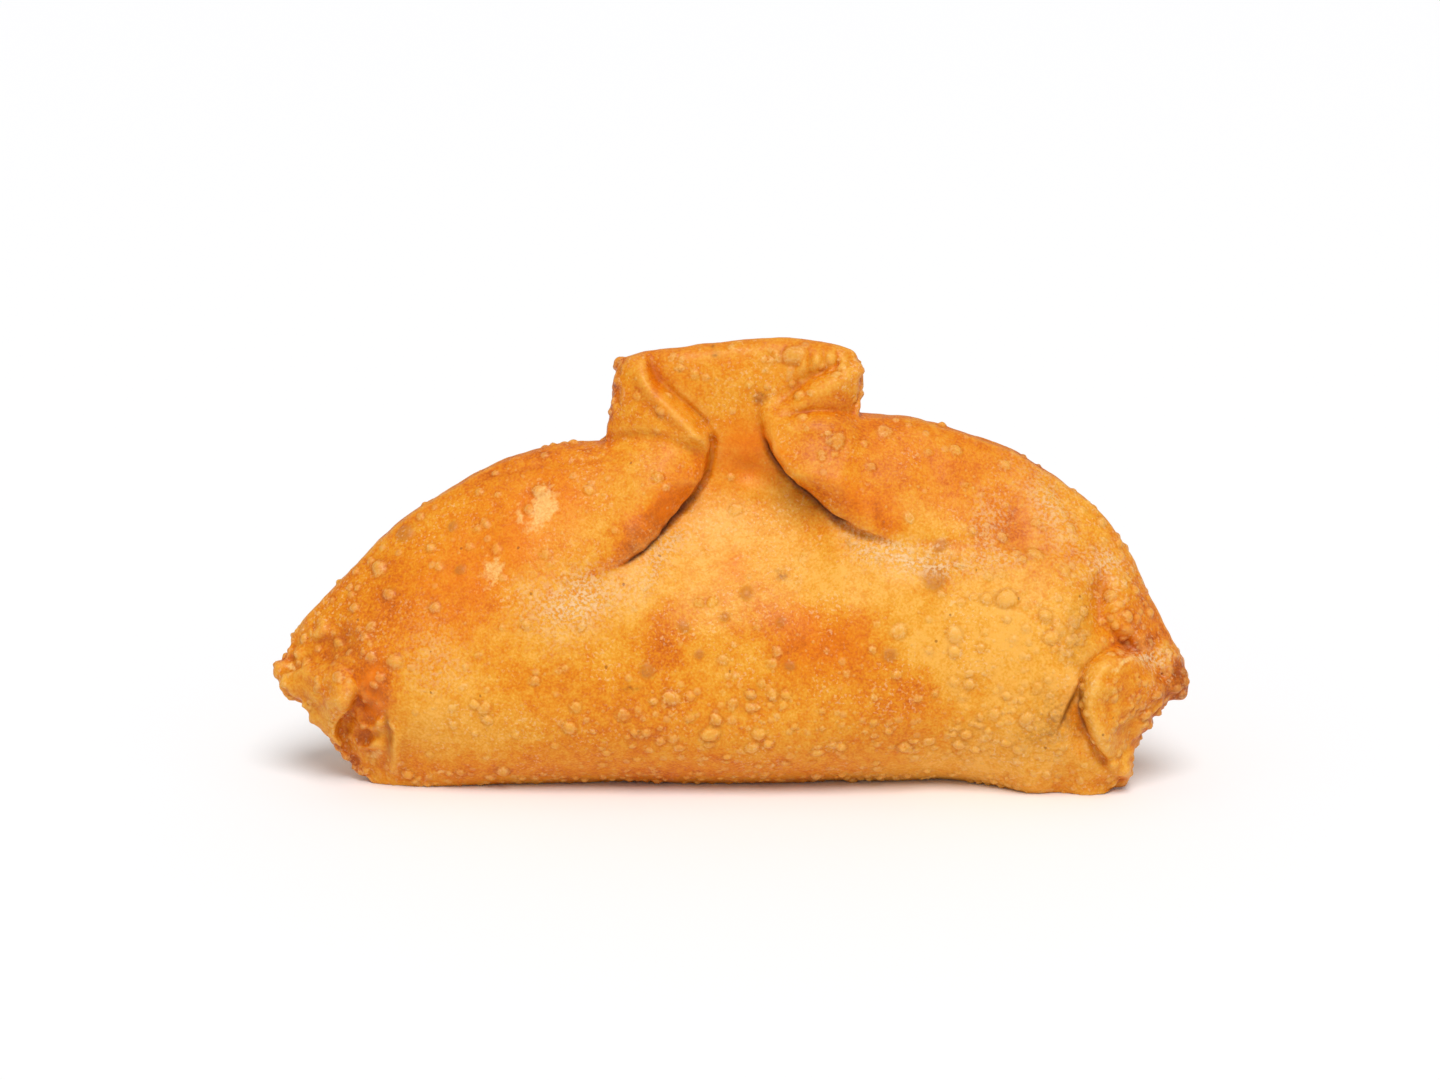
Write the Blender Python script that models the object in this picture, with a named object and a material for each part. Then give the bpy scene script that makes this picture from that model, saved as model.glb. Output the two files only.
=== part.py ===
# Fried filled pastry, one solid: a plump belly closed by a thin seam, two shoulders folded in
# over a pinched neck, a flared frill above it and a pinched ear at each end.
# x runs along the pastry, y from front (-) to back (+), z up. Lengths below are millimetres.

import math

import bmesh
import bpy
import numpy as np

MM = 0.001

# Driving dimensions
BELLY_DEPTH = 17.0      # half thickness of the filling where it is fullest
SEAM_REACH = 34.0       # distance from the seam at which the belly is at its fullest
SEAM_SOFT = 4.0         # how softly two nearby stretches of the seam blend
RIM = 1.0               # half thickness of the pressed dough edge
RIM_ROUND = 1.1         # radius of that edge
FOOT_ROUND = 13.0       # height up to which the belly curves in towards the floor
FOOT_HOLD = 1.09        # over 1 leaves a flat underside; the larger, the wider it is
NECK_PINCH = 0.64       # share of the belly's thickness lost at the neck
NECK_LOW, NECK_HIGH = 19.0, 46.0
FRILL_SHEET = 1.5       # extra half thickness of the doubled dough in the frill
FRILL_NARROW = 1.3      # how far its right side draws in just above the shoulder
FRILL_LEAN = 0.12       # how far the frill leans back for each millimetre of height
EDGE_ROLL = 1.3         # radius of a folded edge in the frill
RIDGE_ROLL = 1.8        # radius of a shoulder's top edge
LEFT_EAR_FORWARD = 8.5
RIGHT_EAR_FORWARD = 12.8
EAR_HEIGHT = 42.0       # height at which the ears no longer lean forward
FOLD_STEP = 2.3         # height of the rolled step at the foot of each shoulder
FOLD_SLOPE = 10.0       # width of the rounded slope behind it
SLIT = 0.6              # depth of the slit at the foot of that step
FLAT_CUT = 0.3          # height of the cut that makes the flat underside

# Mesh
COLUMNS, ROWS = 300, 170
BODY_ROWS = 0.78        # share of the rows that lie below the shoulders' tops
VOXEL = 0.6
SOFTEN = 3
TRIANGLES = 8200

# Outline seen from the front
LEFT_SIDE = [(-48.0, 0.0), (-50.4, 1.6), (-52.7, 5.0), (-55.0, 7.8), (-57.2, 10.6), (-58.8, 11.8),
             (-60.0, 12.8), (-60.4, 15.2)]
LEFT_TOP = [(-60.4, 15.2), (-59.1, 17.8), (-56.0, 22.0), (-50.7, 27.6), (-44.1, 33.8), (-37.5, 38.3),
            (-30.9, 41.9), (-24.3, 44.0), (-17.3, 44.6)]
FRILL = [(-16.95, 44.6), (-16.9, 46.4), (-16.7, 48.7), (-16.1, 51.0), (-15.6, 53.0), (-15.4, 54.5),
         (-14.5, 55.6), (-12.6, 56.2), (-10.4, 56.5), (-3.6, 57.2), (1.5, 57.7), (6.1, 58.0), (10.6, 57.6),
         (15.0, 56.4), (16.9, 54.4), (17.0, 52.6), (17.1, 47.9)]
RIGHT_TOP = [(17.3, 47.9), (19.4, 47.7), (24.7, 47.1), (31.3, 45.1), (37.9, 42.5), (43.2, 39.3),
             (48.5, 35.4), (52.2, 30.6), (54.4, 25.4), (56.5, 20.8), (57.6, 18.4), (58.8, 16.2), (59.6, 14.4)]
RIGHT_SIDE = [(59.6, 14.4), (59.3, 12.8), (58.0, 11.8), (56.2, 11.2), (55.0, 9.8), (54.0, 8.4), (53.0, 6.6),
              (52.7, 4.6), (52.0, 2.2), (50.0, 0.0)]

# The two folded shoulders of each face. A crease is the shoulder's lower edge, from the top of the
# frill down; a ridge is its top edge, where it passes in front of the frill by at least "over".
FRONT = dict(
    left=dict(
        side=-1, lift=2.2, roll=2.9, over=0.4,
        crease=[(-12.2, 60.0), (-11.4, 56.3), (-10.6, 53.3), (-8.5, 51.2), (-6.3, 49.3), (-4.6, 47.6),
                (-3.5, 46.0), (-3.1, 44.3), (-3.2, 42.6), (-3.7, 40.8), (-4.7, 39.1), (-6.2, 37.4),
                (-8.1, 35.7), (-10.4, 33.6), (-12.9, 31.8), (-15.4, 30.4), (-18.6, 29.3), (-24.0, 28.4)],
        ridge=[(-24.3, 44.0), (-17.0, 44.9), (-14.0, 45.6), (-11.0, 45.9), (-8.7, 45.8), (-6.8, 45.1),
               (-5.0, 43.8), (-3.0, 41.6)]),
    right=dict(
        side=1, lift=2.2, roll=2.7, over=1.3,
        crease=[(3.4, 48.9), (3.7, 46.8), (4.3, 45.2), (5.0, 43.6), (6.1, 41.9), (7.6, 40.3), (9.6, 38.7),
                (12.2, 36.9), (15.0, 35.3), (18.4, 34.2), (22.0, 33.4), (28.0, 32.7)],
        ridge=[(2.7, 44.9), (4.0, 47.0), (6.6, 48.4), (9.8, 49.0), (13.5, 48.9), (17.2, 48.3), (20.5, 47.7),
               (24.7, 47.1)]),
    frill_fold=[(3.4, 45.4), (4.2, 47.6), (5.8, 49.7), (8.2, 51.6), (10.5, 53.0), (13.0, 54.1),
                (15.2, 54.9), (18.0, 56.0)])

# The back is given as seen from behind, so its x runs the other way.
BACK = dict(
    left=dict(
        side=-1, lift=2.0, roll=3.4, over=1.3,
        crease=[(-13.0, 60.0), (-12.2, 56.6), (-11.0, 54.0), (-9.2, 51.8), (-7.4, 49.8), (-6.0, 48.0),
                (-5.0, 46.0), (-4.6, 44.0), (-5.0, 42.0), (-6.4, 40.0), (-8.8, 37.8), (-11.8, 35.6),
                (-15.2, 33.6), (-19.0, 32.2), (-23.0, 31.4), (-28.0, 31.0)],
        ridge=[(-24.7, 47.1), (-19.4, 47.7), (-13.8, 48.0), (-10.4, 47.4), (-7.6, 46.0), (-5.6, 44.0),
               (-4.0, 41.6)]),
    right=dict(
        side=1, lift=2.0, roll=3.2, over=1.0,
        crease=[(3.2, 48.4), (3.4, 46.2), (3.8, 44.4), (4.8, 42.5), (6.4, 40.6), (8.6, 38.8), (11.2, 37.0),
                (14.4, 35.0), (18.0, 33.4), (22.0, 32.2), (27.0, 31.4)],
        ridge=[(2.2, 42.6), (3.6, 44.2), (6.6, 45.0), (9.8, 45.2), (13.5, 44.9), (17.3, 44.1),
               (24.3, 43.2)]),
    frill_fold=[(3.2, 44.6), (4.2, 46.8), (5.6, 48.9), (7.8, 51.0), (10.2, 52.8), (12.6, 54.2),
                (14.6, 55.2), (17.0, 56.8)])


def smooth_line(points, step=0.8):
    # Catmull-Rom curve through the points
    p = np.array(points, float)
    p = np.vstack([2 * p[0] - p[1], p, 2 * p[-1] - p[-2]])
    runs = []
    for a, b, c, d in zip(p[:-3], p[1:-2], p[2:-1], p[3:]):
        count = max(1, int(np.linalg.norm(c - b) / step))
        t = (np.arange(count) / count)[:, None]
        runs.append(0.5 * (2 * b + (c - a) * t + (2 * a - 5 * b + 4 * c - d) * t ** 2
                           + (3 * b - a - 3 * c + d) * t ** 3))
    return np.vstack(runs + [p[-2][None]])


def ease(low, high, value):
    t = np.clip((value - low) / (high - low), 0, 1)
    return t * t * (3 - 2 * t)


def slow_ease(low, high, value):
    t = np.clip((value - low) / (high - low), 0, 1)
    return t * t * t * (10 - 15 * t + 6 * t * t)


def rounded(distance, radius):
    # a folded edge: 0 outside it, a quarter round inside it, then 1
    t = np.clip(distance / radius, 0, 1)
    return np.sqrt(1 - (1 - t) ** 2)


def bell(distance, width):
    return np.exp(-(distance / width) ** 2)


def mound(x, z, at, radii, turn=0.0):
    c, s = math.cos(math.radians(turn)), math.sin(math.radians(turn))
    dx, dz = x - at[0], z - at[1]
    return np.exp(-((dx * c + dz * s) / radii[0]) ** 2 - ((dz * c - dx * s) / radii[1]) ** 2)


def from_line(points, x, z, onward=False):
    # signed distance to a curve, positive on the right of someone walking along it, and the share of
    # the way at which the nearest point lies; onward carries both of its ends straight on
    line = smooth_line(points)
    if onward:
        line = np.vstack([line[0] + (line[0] - line[1]) * 80, line, line[-1] + (line[-1] - line[-2]) * 80])
    nearest = np.full(x.shape, np.inf)
    side = np.ones(x.shape)
    along = np.zeros(x.shape)
    walked = 0.0
    for a, b in zip(line[:-1], line[1:]):
        d = b - a
        length = math.hypot(d[0], d[1])
        t = np.clip(((x - a[0]) * d[0] + (z - a[1]) * d[1]) / length ** 2, 0, 1)
        ex, ez = x - a[0] - t * d[0], z - a[1] - t * d[1]
        square = ex * ex + ez * ez
        closer = square < nearest
        nearest = np.where(closer, square, nearest)
        side = np.where(closer, np.where(d[1] * ex - d[0] * ez < 0, -1.0, 1.0), side)
        along = np.where(closer, walked + t * length, along)
        walked += length
    return np.sqrt(nearest) * side, along / walked


def along_line(points, x, z, width, ends=(0.2, 0.2)):
    # a soft stroke that follows the curve
    d, t = from_line(points, x, z)
    return bell(d, width) * ease(0, ends[0], t) * (1 - ease(1 - ends[1], 1, t))


def tuck(points, x, z, up, up_width, down, down_width, ends=(0.2, 0.2)):
    # a small fold: the dough rises on the right of the curve and dips on its left
    d, t = from_line(points, x, z)
    hold = ease(0, ends[0], t) * (1 - ease(1 - ends[1], 1, t))
    rise = up * rounded(d, 0.45 * up_width) * np.exp(-np.maximum(d, 0) / up_width)
    dip = down * np.exp(-np.abs(d) / down_width) * np.where(d > 0, np.maximum(1 - d / 0.8, 0), 1)
    return hold * (rise - dip)


def lay_flap(points, x, z, height, roll, groove, groove_width):
    # a flap folded forward: a puffed field on the right of the curve, a soft groove along its foot
    d = from_line(points, x, z, True)[0]
    flap = height * rounded(d, roll) * np.exp(-np.maximum(d, 0) / 14)
    groove = groove * bell(d + 0.5 * groove_width, groove_width)
    return (flap - groove) * (np.abs(x - points[0][0]) < 24)


def sorted_profile(*lines):
    line = np.vstack([smooth_line(points) for points in lines])
    return line[np.argsort(line[:, 0], kind="stable")]


def seam_distance(x, z):
    # softly blended distance to the closed seam: both sides, both shoulders and the neck between them
    neck = [(-1.5, 43.0), (1.5, 43.6)]
    top = LEFT_TOP[:-1] + FRONT["left"]["ridge"][1:-2] + neck + FRONT["right"]["ridge"][1:-2] + RIGHT_TOP
    total = 0.0
    for line in (LEFT_SIDE, top, RIGHT_SIDE):
        away = np.maximum(np.abs(from_line(line, x, z)[0]), 0.01)
        total = total + away ** -SEAM_SOFT
    above = from_line(top, x, z)[0] < 0
    return np.where(above, 0.0, total ** (-1 / SEAM_SOFT))


def belly_depth(x, z):
    reach = np.clip(seam_distance(x, z) / SEAM_REACH, 0, 1)
    under = np.clip((FOOT_ROUND - z) / (FOOT_ROUND * FOOT_HOLD), 0, 1)
    return BELLY_DEPTH * np.sin(0.5 * math.pi * reach) ** 0.85 * np.sqrt(1 - under ** 2)


def lay_shoulder(under, plain, belly, x, z, shoulder):
    side = shoulder["side"]
    crease = -side * from_line(shoulder["crease"], x, z, True)[0]
    ridge = from_line(shoulder["ridge"], x, z, True)[0]
    near = side * x > -5
    lift = shoulder["lift"] * ease(-28, -10, -np.abs(x)) * ease(28, 44, z)
    # how much higher than the dough under it: as the belly, and in front of the frill by "over"
    body = belly + RIM + lift
    over = plain + shoulder["over"] - 9 * (1 - ease(35, 41, z) * ease(23, 15, np.abs(x)))
    rise = np.maximum(0.5 * (body + over + np.sqrt((body - over) ** 2 + 1)) - under, 0)
    # a rolled step at the foot of the shoulder, then a rounded slope up to its full height
    fading = 1 - slow_ease(15, 25, np.abs(x))
    step = np.minimum(rise, FOLD_STEP + 6 * slow_ease(36, 48, z)) * fading
    roll = EDGE_ROLL + (shoulder["roll"] - EDGE_ROLL) * ease(47, 39, z)
    slope = FOLD_SLOPE * (1 - 0.6 * ease(36, 46, z))
    cover = step * rounded(crease, roll)
    cover = cover + (rise - step) * np.sin(0.5 * math.pi * np.clip(crease / slope, 0, 1))
    # near the crease the top edge melts into the roll that comes down from the frill
    melted = bell(np.maximum(crease - 1.5, 0), 2.2)
    top = rounded(ridge, RIDGE_ROLL) * (1 - melted) + ease(-3.5, 2.5, ridge) * melted
    slit = SLIT * bell(crease + 0.25, 0.4) * near * ease(29, 34, z) * (1 - ease(44, 47, z)) * fading
    return under + cover * top * near - slit


def face_depth(x, z, face, edge):
    # distance of one face from the middle of the dough
    belly = belly_depth(x, z) if face is FRONT else belly_depth(-x, z)
    pinch = 1 - NECK_PINCH * slow_ease(NECK_LOW, NECK_HIGH, z) * (1 - slow_ease(5, 23, np.abs(x - 1.5)))
    sheet = FRILL_SHEET * (1 - np.exp(-edge / 1.5)) * ease(34, 46, z)
    depth = RIM * (0.3 + 0.7 * rounded(edge, RIM_ROUND)) + np.sqrt((belly * pinch) ** 2 + sheet ** 2)
    plain = depth + 2.4 * ease(-17, -4, x) * ease(6, -2, x)
    plain = plain + 2.2 * ease(0, 6, x) * (1 - 0.55 * ease(11, 17, x))
    # the frill's left panel with the rolled edge that runs down into the shoulder's crease
    up = ease(42.5, 46.5, z)
    d = from_line(face["left"]["crease"], x, z, True)[0]
    near = x < 3
    panel = (0.5 + 2.6 * ease(-17, -4, x) - 0.8 * ease(50, 58, z)) * rounded(d, 1.5)
    bead = (0.5 * bell(d - 1.0, 1.0) * ease(56, 53, z) - 0.5 * bell(d - 2.8, 0.9) * ease(45, 48, z)) * (d > 0)
    cleft = 0.8 * bell(d + 0.4, 0.6) * (1 - 0.7 * ease(54.5, 57, z))
    depth = depth + (panel + bead - cleft) * up * near
    # its right panel, folded forward
    d = from_line(face["frill_fold"], x, z, True)[0]
    hold = ease(45, 47, z) * ease(3.5, 9, x) * (1 - 0.55 * ease(11, 17, x))
    fold = 1.7 * rounded(d, 1.8) * np.exp(-np.maximum(d - 1.6, 0) / 8) - 0.6 * bell(d + 0.7, 0.8)
    depth = depth + hold * fold
    depth = lay_shoulder(depth, plain, belly, x, z, face["left"])
    return lay_shoulder(depth, plain, belly, x, z, face["right"])


def front_relief(x, z):
    # a narrow strip of the back sheet shows above the front one on the left shoulder
    strip = [(-36.7, 38.2), (-33.5, 39.8), (-30.4, 40.7), (-27.6, 41.3), (-24.4, 41.9), (-20.8, 42.4),
             (-16.3, 43.0), (-12.4, 43.5)]
    relief = tuck(strip, x, z, 0.5, 2.0, 0.5, 1.2)
    # left ear: a flap folded forward
    flap = [(-60.5, 15.0), (-58.2, 15.4), (-56.6, 16.5), (-54.6, 17.2), (-52.8, 17.5), (-51.1, 17.1),
            (-49.8, 16.1), (-49.3, 14.7), (-49.6, 12.9), (-50.4, 11.3), (-51.2, 9.8), (-51.7, 7.9),
            (-51.7, 6.0), (-51.4, 4.0), (-51.2, 2.0)]
    low = ease(17.5, 12.5, z)
    height = (0.6 + 1.6 * low * ease(-59, -51, x)) * ease(0, 3, z)
    relief += lay_flap(flap, x, z, height, 1.3, 0.25 + 0.6 * low, 0.8)
    # the hollow beside it with its pit, two crescent folds and the pleat that closes it
    relief -= 1.7 * mound(x, z, (-48.3, 9.4), (2.3, 5.4), -4) + 1.2 * mound(x, z, (-48.3, 11.7), (0.9, 1.0))
    relief += 0.7 * mound(x, z, (-48.4, 14.2), (0.8, 1.4), 20)
    for fold in ([(-46.0, 11.6), (-46.7, 9.9), (-48.2, 8.9), (-49.8, 9.3), (-50.7, 10.9)],
                 [(-46.0, 8.6), (-46.9, 7.0), (-48.6, 6.0), (-50.3, 6.2), (-51.4, 7.4)]):
        relief += 0.7 * along_line(fold, x, z, 0.8, (0.35, 0.35))
    pleat = [(-46.4, 1.5), (-45.8, 4.4), (-45.4, 7.2), (-45.2, 9.4), (-45.2, 12.0)]
    relief += 0.8 * along_line(pleat, x, z, 0.8, (0.4, 0.5))
    relief -= 0.9 * mound(x, z, (-52.8, 19.2), (3.0, 1.5), 25)
    # right ear: a larger flap, the web behind it, the slit between them and the bulge above
    flap = [(49.8, 3.2), (48.6, 4.8), (47.6, 6.8), (46.4, 9.3), (45.2, 12.3), (44.9, 14.9), (45.3, 16.9),
            (46.3, 18.4), (47.8, 19.3), (49.6, 19.6), (51.4, 19.3), (53.0, 18.5), (54.3, 17.4), (55.3, 15.9),
            (56.0, 14.2), (56.4, 12.5)]
    height = (2.5 - 1.2 * ease(46, 55, x)) * ease(0, 9, z)
    relief += lay_flap(flap, x, z, height, 1.5, (0.9 - 0.4 * ease(46, 52, x)) * ease(3, 9, z), 0.8)
    web = [(45.2, 17.6), (44.5, 15.9), (43.8, 14.5), (43.2, 13.3), (42.6, 12.0), (42.0, 10.3), (41.6, 8.4)]
    relief += tuck(web, x, z, 0.8, 2.2, 0.8, 0.6, (0.15, 0.3))
    relief -= 1.2 * mound(x, z, (44.3, 10.6), (0.9, 3.4), 14)
    bulge = [(49.6, 30.2), (48.0, 28.4), (47.2, 25.6), (47.6, 23.2), (49.0, 21.3), (51.2, 20.3), (53.6, 20.2)]
    relief -= 1.8 * along_line(bulge, x, z, 1.5, (0.3, 0.2))
    relief += 1.9 * mound(x, z, (51.2, 24.0), (2.8, 4.0), 15)
    # right shoulder: a shallow dent inside a long low ridge
    relief -= 0.9 * mound(x, z, (36.8, 36.0), (5.0, 3.4), -30)
    shoulder = [(36.0, 43.8), (37.9, 42.4), (41.1, 39.4), (44.1, 35.0), (45.8, 31.4)]
    relief += tuck(shoulder, x, z, 0.6, 2.4, 0.0, 1.0, (0.25, 0.3))
    # a wrinkle across the neck, swellings at the foot and a dimple where each crease ends
    relief -= 0.6 * along_line([(-1.6, 41.6), (1.0, 41.2), (3.6, 41.2), (5.6, 42.0)], x, z, 1.3, (0.5, 0.5))
    relief += 0.9 * mound(x, z, (38.3, 1.0), (3.0, 6.0)) - 0.9 * mound(x, z, (43.0, 1.0), (2.4, 6.0))
    relief -= 1.0 * mound(x, z, (-19.5, 28.4), (4.2, 2.6), 20)
    relief -= 0.8 * mound(x, z, (22.5, 32.6), (4.5, 2.2), -12)
    return relief


def back_relief(x, z):
    # a shallow fold at each ear, then the dents and swellings of a hand-filled pocket
    left = [(-51.0, 4.2), (-49.8, 7.4), (-48.4, 10.6), (-47.8, 13.8), (-48.2, 17.0), (-49.5, 19.6),
            (-51.5, 21.4)]
    right = [(49.5, 20.4), (48.2, 17.8), (47.4, 14.8), (47.6, 11.4), (48.6, 8.2), (49.6, 5.0), (50.3, 2.4)]
    relief = tuck(left[::-1], x, z, 1.4, 3.0, 0.9, 1.0)
    relief += tuck(right[::-1], x, z, 1.3, 3.0, 0.8, 1.0)
    relief -= 0.9 * mound(x, z, (-21.5, 30.6), (4.4, 2.4), 16)
    relief -= 0.9 * mound(x, z, (20.5, 31.6), (4.5, 2.2), -14)
    relief += 0.7 * mound(x, z, (-33.0, 33.0), (7.0, 4.0), 40)
    relief -= 0.7 * mound(x, z, (35.0, 31.0), (6.0, 3.6), -35)
    relief -= 0.7 * mound(x, z, (2.0, 27.0), (9.0, 3.0), 5)
    return relief


def middle_of_dough(x, z):
    # the ears lean forward, the frill leans back
    low = 1 - z / EAR_HEIGHT
    ears = RIGHT_EAR_FORWARD * ease(25, 50, x) * low + LEFT_EAR_FORWARD * ease(14, 50, -x) * low
    return FRILL_LEAN * np.maximum(z - 44, 0) - ears


def denser_at_ends(t, share):
    return (1 - share) * t + share * (0.5 - 0.5 * np.cos(math.pi * t))


def sheet_points(u, v, side):
    top_line = sorted_profile(LEFT_TOP, FRILL, RIGHT_TOP)
    foot_line = sorted_profile(LEFT_SIDE, RIGHT_SIDE)
    inset = 0.15
    low_x, high_x = top_line[0, 0] + inset, top_line[-1, 0] - inset
    x = low_x + (high_x - low_x) * denser_at_ends(u, 0.45)
    top = np.interp(x, top_line[:, 0], top_line[:, 1])
    foot = np.interp(x, foot_line[:, 0], foot_line[:, 1])
    # most rows end just under the shoulders, so that they pass below the frill undisturbed
    shoulder = foot + 0.96 * (np.minimum(top, np.interp(x, (-17, 17), (43.5, 47.2))) - foot)
    low_v = np.minimum(v / BODY_ROWS, 1)
    high_v = np.maximum(v - BODY_ROWS, 0) / (1 - BODY_ROWS)
    z = foot + (shoulder - foot) * (1 - (1 - low_v) ** 0.9 * (1 - 0.35 * low_v)) + (top - shoulder) * high_v
    outline = LEFT_SIDE[:-1] + LEFT_TOP + FRILL + RIGHT_TOP + RIGHT_SIDE[1:]
    edge = np.abs(from_line(outline, x, z)[0])
    calm = ease(0, 1.5, edge)
    if side == "front":
        depth = face_depth(x, z, FRONT, edge) + calm * front_relief(x, z)
        y = middle_of_dough(x, z) - np.maximum(depth, 0.3)
    else:
        depth = face_depth(-x, z, BACK, edge) + calm * back_relief(-x, z)
        y = middle_of_dough(x, z) + np.maximum(depth, 0.3)
    # the frill narrows towards its foot on the right
    narrow = FRILL_NARROW * bell(z - 48.6, 3.0) * ease(12, 17, x) * (1 - ease(17.2, 22, x))
    return np.stack([x - narrow, y, z], axis=-1) * MM


def make_pocket():
    bm = bmesh.new()
    for side in ("front", "back"):
        verts = bmesh.ops.create_grid(bm, x_segments=COLUMNS, y_segments=ROWS, size=0.5)["verts"]
        flat = np.array([v.co[:] for v in verts]) + 0.5
        for vert, place in zip(verts, sheet_points(flat[:, 0], flat[:, 1], side)):
            vert.co = place
        if side == "back":
            bmesh.ops.reverse_faces(bm, faces=list({f for v in verts for f in v.link_faces}))
    bmesh.ops.bridge_loops(bm, edges=[e for e in bm.edges if e.is_boundary])
    mesh = bpy.data.meshes.new("pocket")
    bm.to_mesh(mesh)
    bm.free()
    return mesh


def merge_to_one_skin(mesh):
    # the two sheets become one even skin, thinned to the wanted number of triangles
    rough = bpy.data.objects.new("rough", mesh)
    bpy.context.scene.collection.objects.link(rough)
    remesh = rough.modifiers.new("one skin", "REMESH")
    remesh.mode = "VOXEL"
    remesh.voxel_size = VOXEL * MM
    soften = rough.modifiers.new("soften", "SMOOTH")
    soften.iterations = SOFTEN
    graph = bpy.context.evaluated_depsgraph_get()
    dense = len(rough.evaluated_get(graph).data.polygons) * 2
    thin = rough.modifiers.new("thin", "DECIMATE")
    thin.ratio = TRIANGLES / dense
    graph = bpy.context.evaluated_depsgraph_get()
    skin = bpy.data.meshes.new_from_object(rough.evaluated_get(graph))
    bpy.data.objects.remove(rough)
    return skin


def stand_flat(mesh):
    # cut the underside flat, then put the middle of the box at x = y = 0 and the cut on z = 0
    bm = bmesh.new()
    bm.from_mesh(mesh)
    everything = bm.verts[:] + bm.edges[:] + bm.faces[:]
    bmesh.ops.bisect_plane(bm, geom=everything, dist=1e-6, plane_co=(0, 0, FLAT_CUT * MM),
                           plane_no=(0, 0, 1), clear_inner=True)
    bmesh.ops.remove_doubles(bm, verts=bm.verts[:], dist=0.02 * MM)
    bmesh.ops.holes_fill(bm, edges=[e for e in bm.edges if e.is_boundary])
    bmesh.ops.triangulate(bm, faces=bm.faces[:])
    bmesh.ops.recalc_face_normals(bm, faces=bm.faces[:])
    points = np.array([v.co[:] for v in bm.verts])
    low, high = points.min(axis=0), points.max(axis=0)
    shift = (-(low[0] + high[0]) / 2, -(low[1] + high[1]) / 2, -low[2])
    bmesh.ops.translate(bm, verts=bm.verts[:], vec=shift)
    bm.to_mesh(mesh)
    bm.free()


def fried_dough():
    material = bpy.data.materials.new("fried dough")
    material.use_nodes = True
    shader = material.node_tree.nodes["Principled BSDF"]
    shader.inputs["Base Color"].default_value = (0.79, 0.31, 0.045, 1.0)
    shader.inputs["Roughness"].default_value = 0.5
    shader.inputs["Metallic"].default_value = 0.0
    return material


def main():
    for old in list(bpy.data.objects):
        bpy.data.objects.remove(old)
    mesh = merge_to_one_skin(make_pocket())
    stand_flat(mesh)
    mesh.shade_smooth()
    mesh.materials.clear()
    mesh.materials.append(fried_dough())
    pastry = bpy.data.objects.new("pastry", mesh)
    bpy.context.scene.collection.objects.link(pastry)


main()
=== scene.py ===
# Fried filled pastry: one pocket of wheat dough, folded shut by hand, blistered and browned in oil.
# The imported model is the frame; a fine piece, friedPocket, stands for its solid.

import math

import bmesh
import bpy
import numpy as np
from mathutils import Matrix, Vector, kdtree


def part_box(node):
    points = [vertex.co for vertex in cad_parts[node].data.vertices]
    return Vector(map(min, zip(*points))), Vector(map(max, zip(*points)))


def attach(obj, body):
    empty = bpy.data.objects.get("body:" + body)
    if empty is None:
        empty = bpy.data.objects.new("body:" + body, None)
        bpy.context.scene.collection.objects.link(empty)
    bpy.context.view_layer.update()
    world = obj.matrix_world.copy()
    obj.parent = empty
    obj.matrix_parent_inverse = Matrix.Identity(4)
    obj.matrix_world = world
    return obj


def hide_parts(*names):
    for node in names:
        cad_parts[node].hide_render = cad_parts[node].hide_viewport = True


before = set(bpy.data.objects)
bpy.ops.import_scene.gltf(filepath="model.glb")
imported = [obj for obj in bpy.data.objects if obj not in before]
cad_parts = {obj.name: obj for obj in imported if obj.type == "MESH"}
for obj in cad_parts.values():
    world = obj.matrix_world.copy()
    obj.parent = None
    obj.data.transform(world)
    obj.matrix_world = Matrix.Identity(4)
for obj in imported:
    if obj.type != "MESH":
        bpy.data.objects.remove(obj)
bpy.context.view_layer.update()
mm = 0.001
print("frame loaded:", ", ".join(sorted(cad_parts)))


# the pocket's form: x along it, y from front (-) to back (+), z up, lengths in millimetres

pocket = dict(
    bellyDepth=17.0,      # half thickness of the filling where it is fullest
    seamReach=34.0,       # distance from the seam at which the belly is at its fullest
    seamSoft=4.0,         # how softly two nearby stretches of the seam blend
    rim=1.0,              # half thickness of the pressed dough edge
    rimRound=1.1,         # radius of that edge
    footRound=13.0,       # height up to which the belly curves in towards the floor
    footHold=1.09,        # over 1 leaves a flat underside
    neckPinch=0.64,       # share of the belly's thickness lost at the neck
    neckLow=19.0,
    neckHigh=46.0,
    frillSheet=1.5,       # extra half thickness of the doubled dough in the frill
    frillNarrow=1.3,      # how far its right side draws in just above the shoulder
    frillLean=0.12,       # how far the frill leans back for each millimetre of height
    edgeRoll=1.3,         # radius of a folded edge in the frill
    ridgeRoll=1.8,        # radius of a shoulder's top edge
    leftEarForward=8.5,
    rightEarForward=12.8,
    earHeight=42.0,       # height at which the ears no longer lean forward
    foldStep=2.3,         # height of the rolled step at the foot of each shoulder
    foldStepMore=6.0,     # how much higher it grows beside the frill
    foldSlope=10.0,       # width of the rounded slope behind it
    slit=0.6,             # depth of the slit at the foot of that step
    overhang=0.5,         # how far the step bulges out over its own foot
    ridgeGroove=0.28,     # depth of the groove above a shoulder's top edge
    outOfReach=9.0,       # sinks the frill's face where no shoulder lies on it
    flatCut=0.3,          # height of the flat underside above the lowest dough
    columns=520,
    rows=300,
    endColumns=0.45,      # how much the columns crowd towards both ends, from 0 to 1
    bodyRows=0.80,        # share of the rows that lie below the shoulders' tops
    voxel=0.28,
    soften=3,
    triangles=190000)

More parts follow.
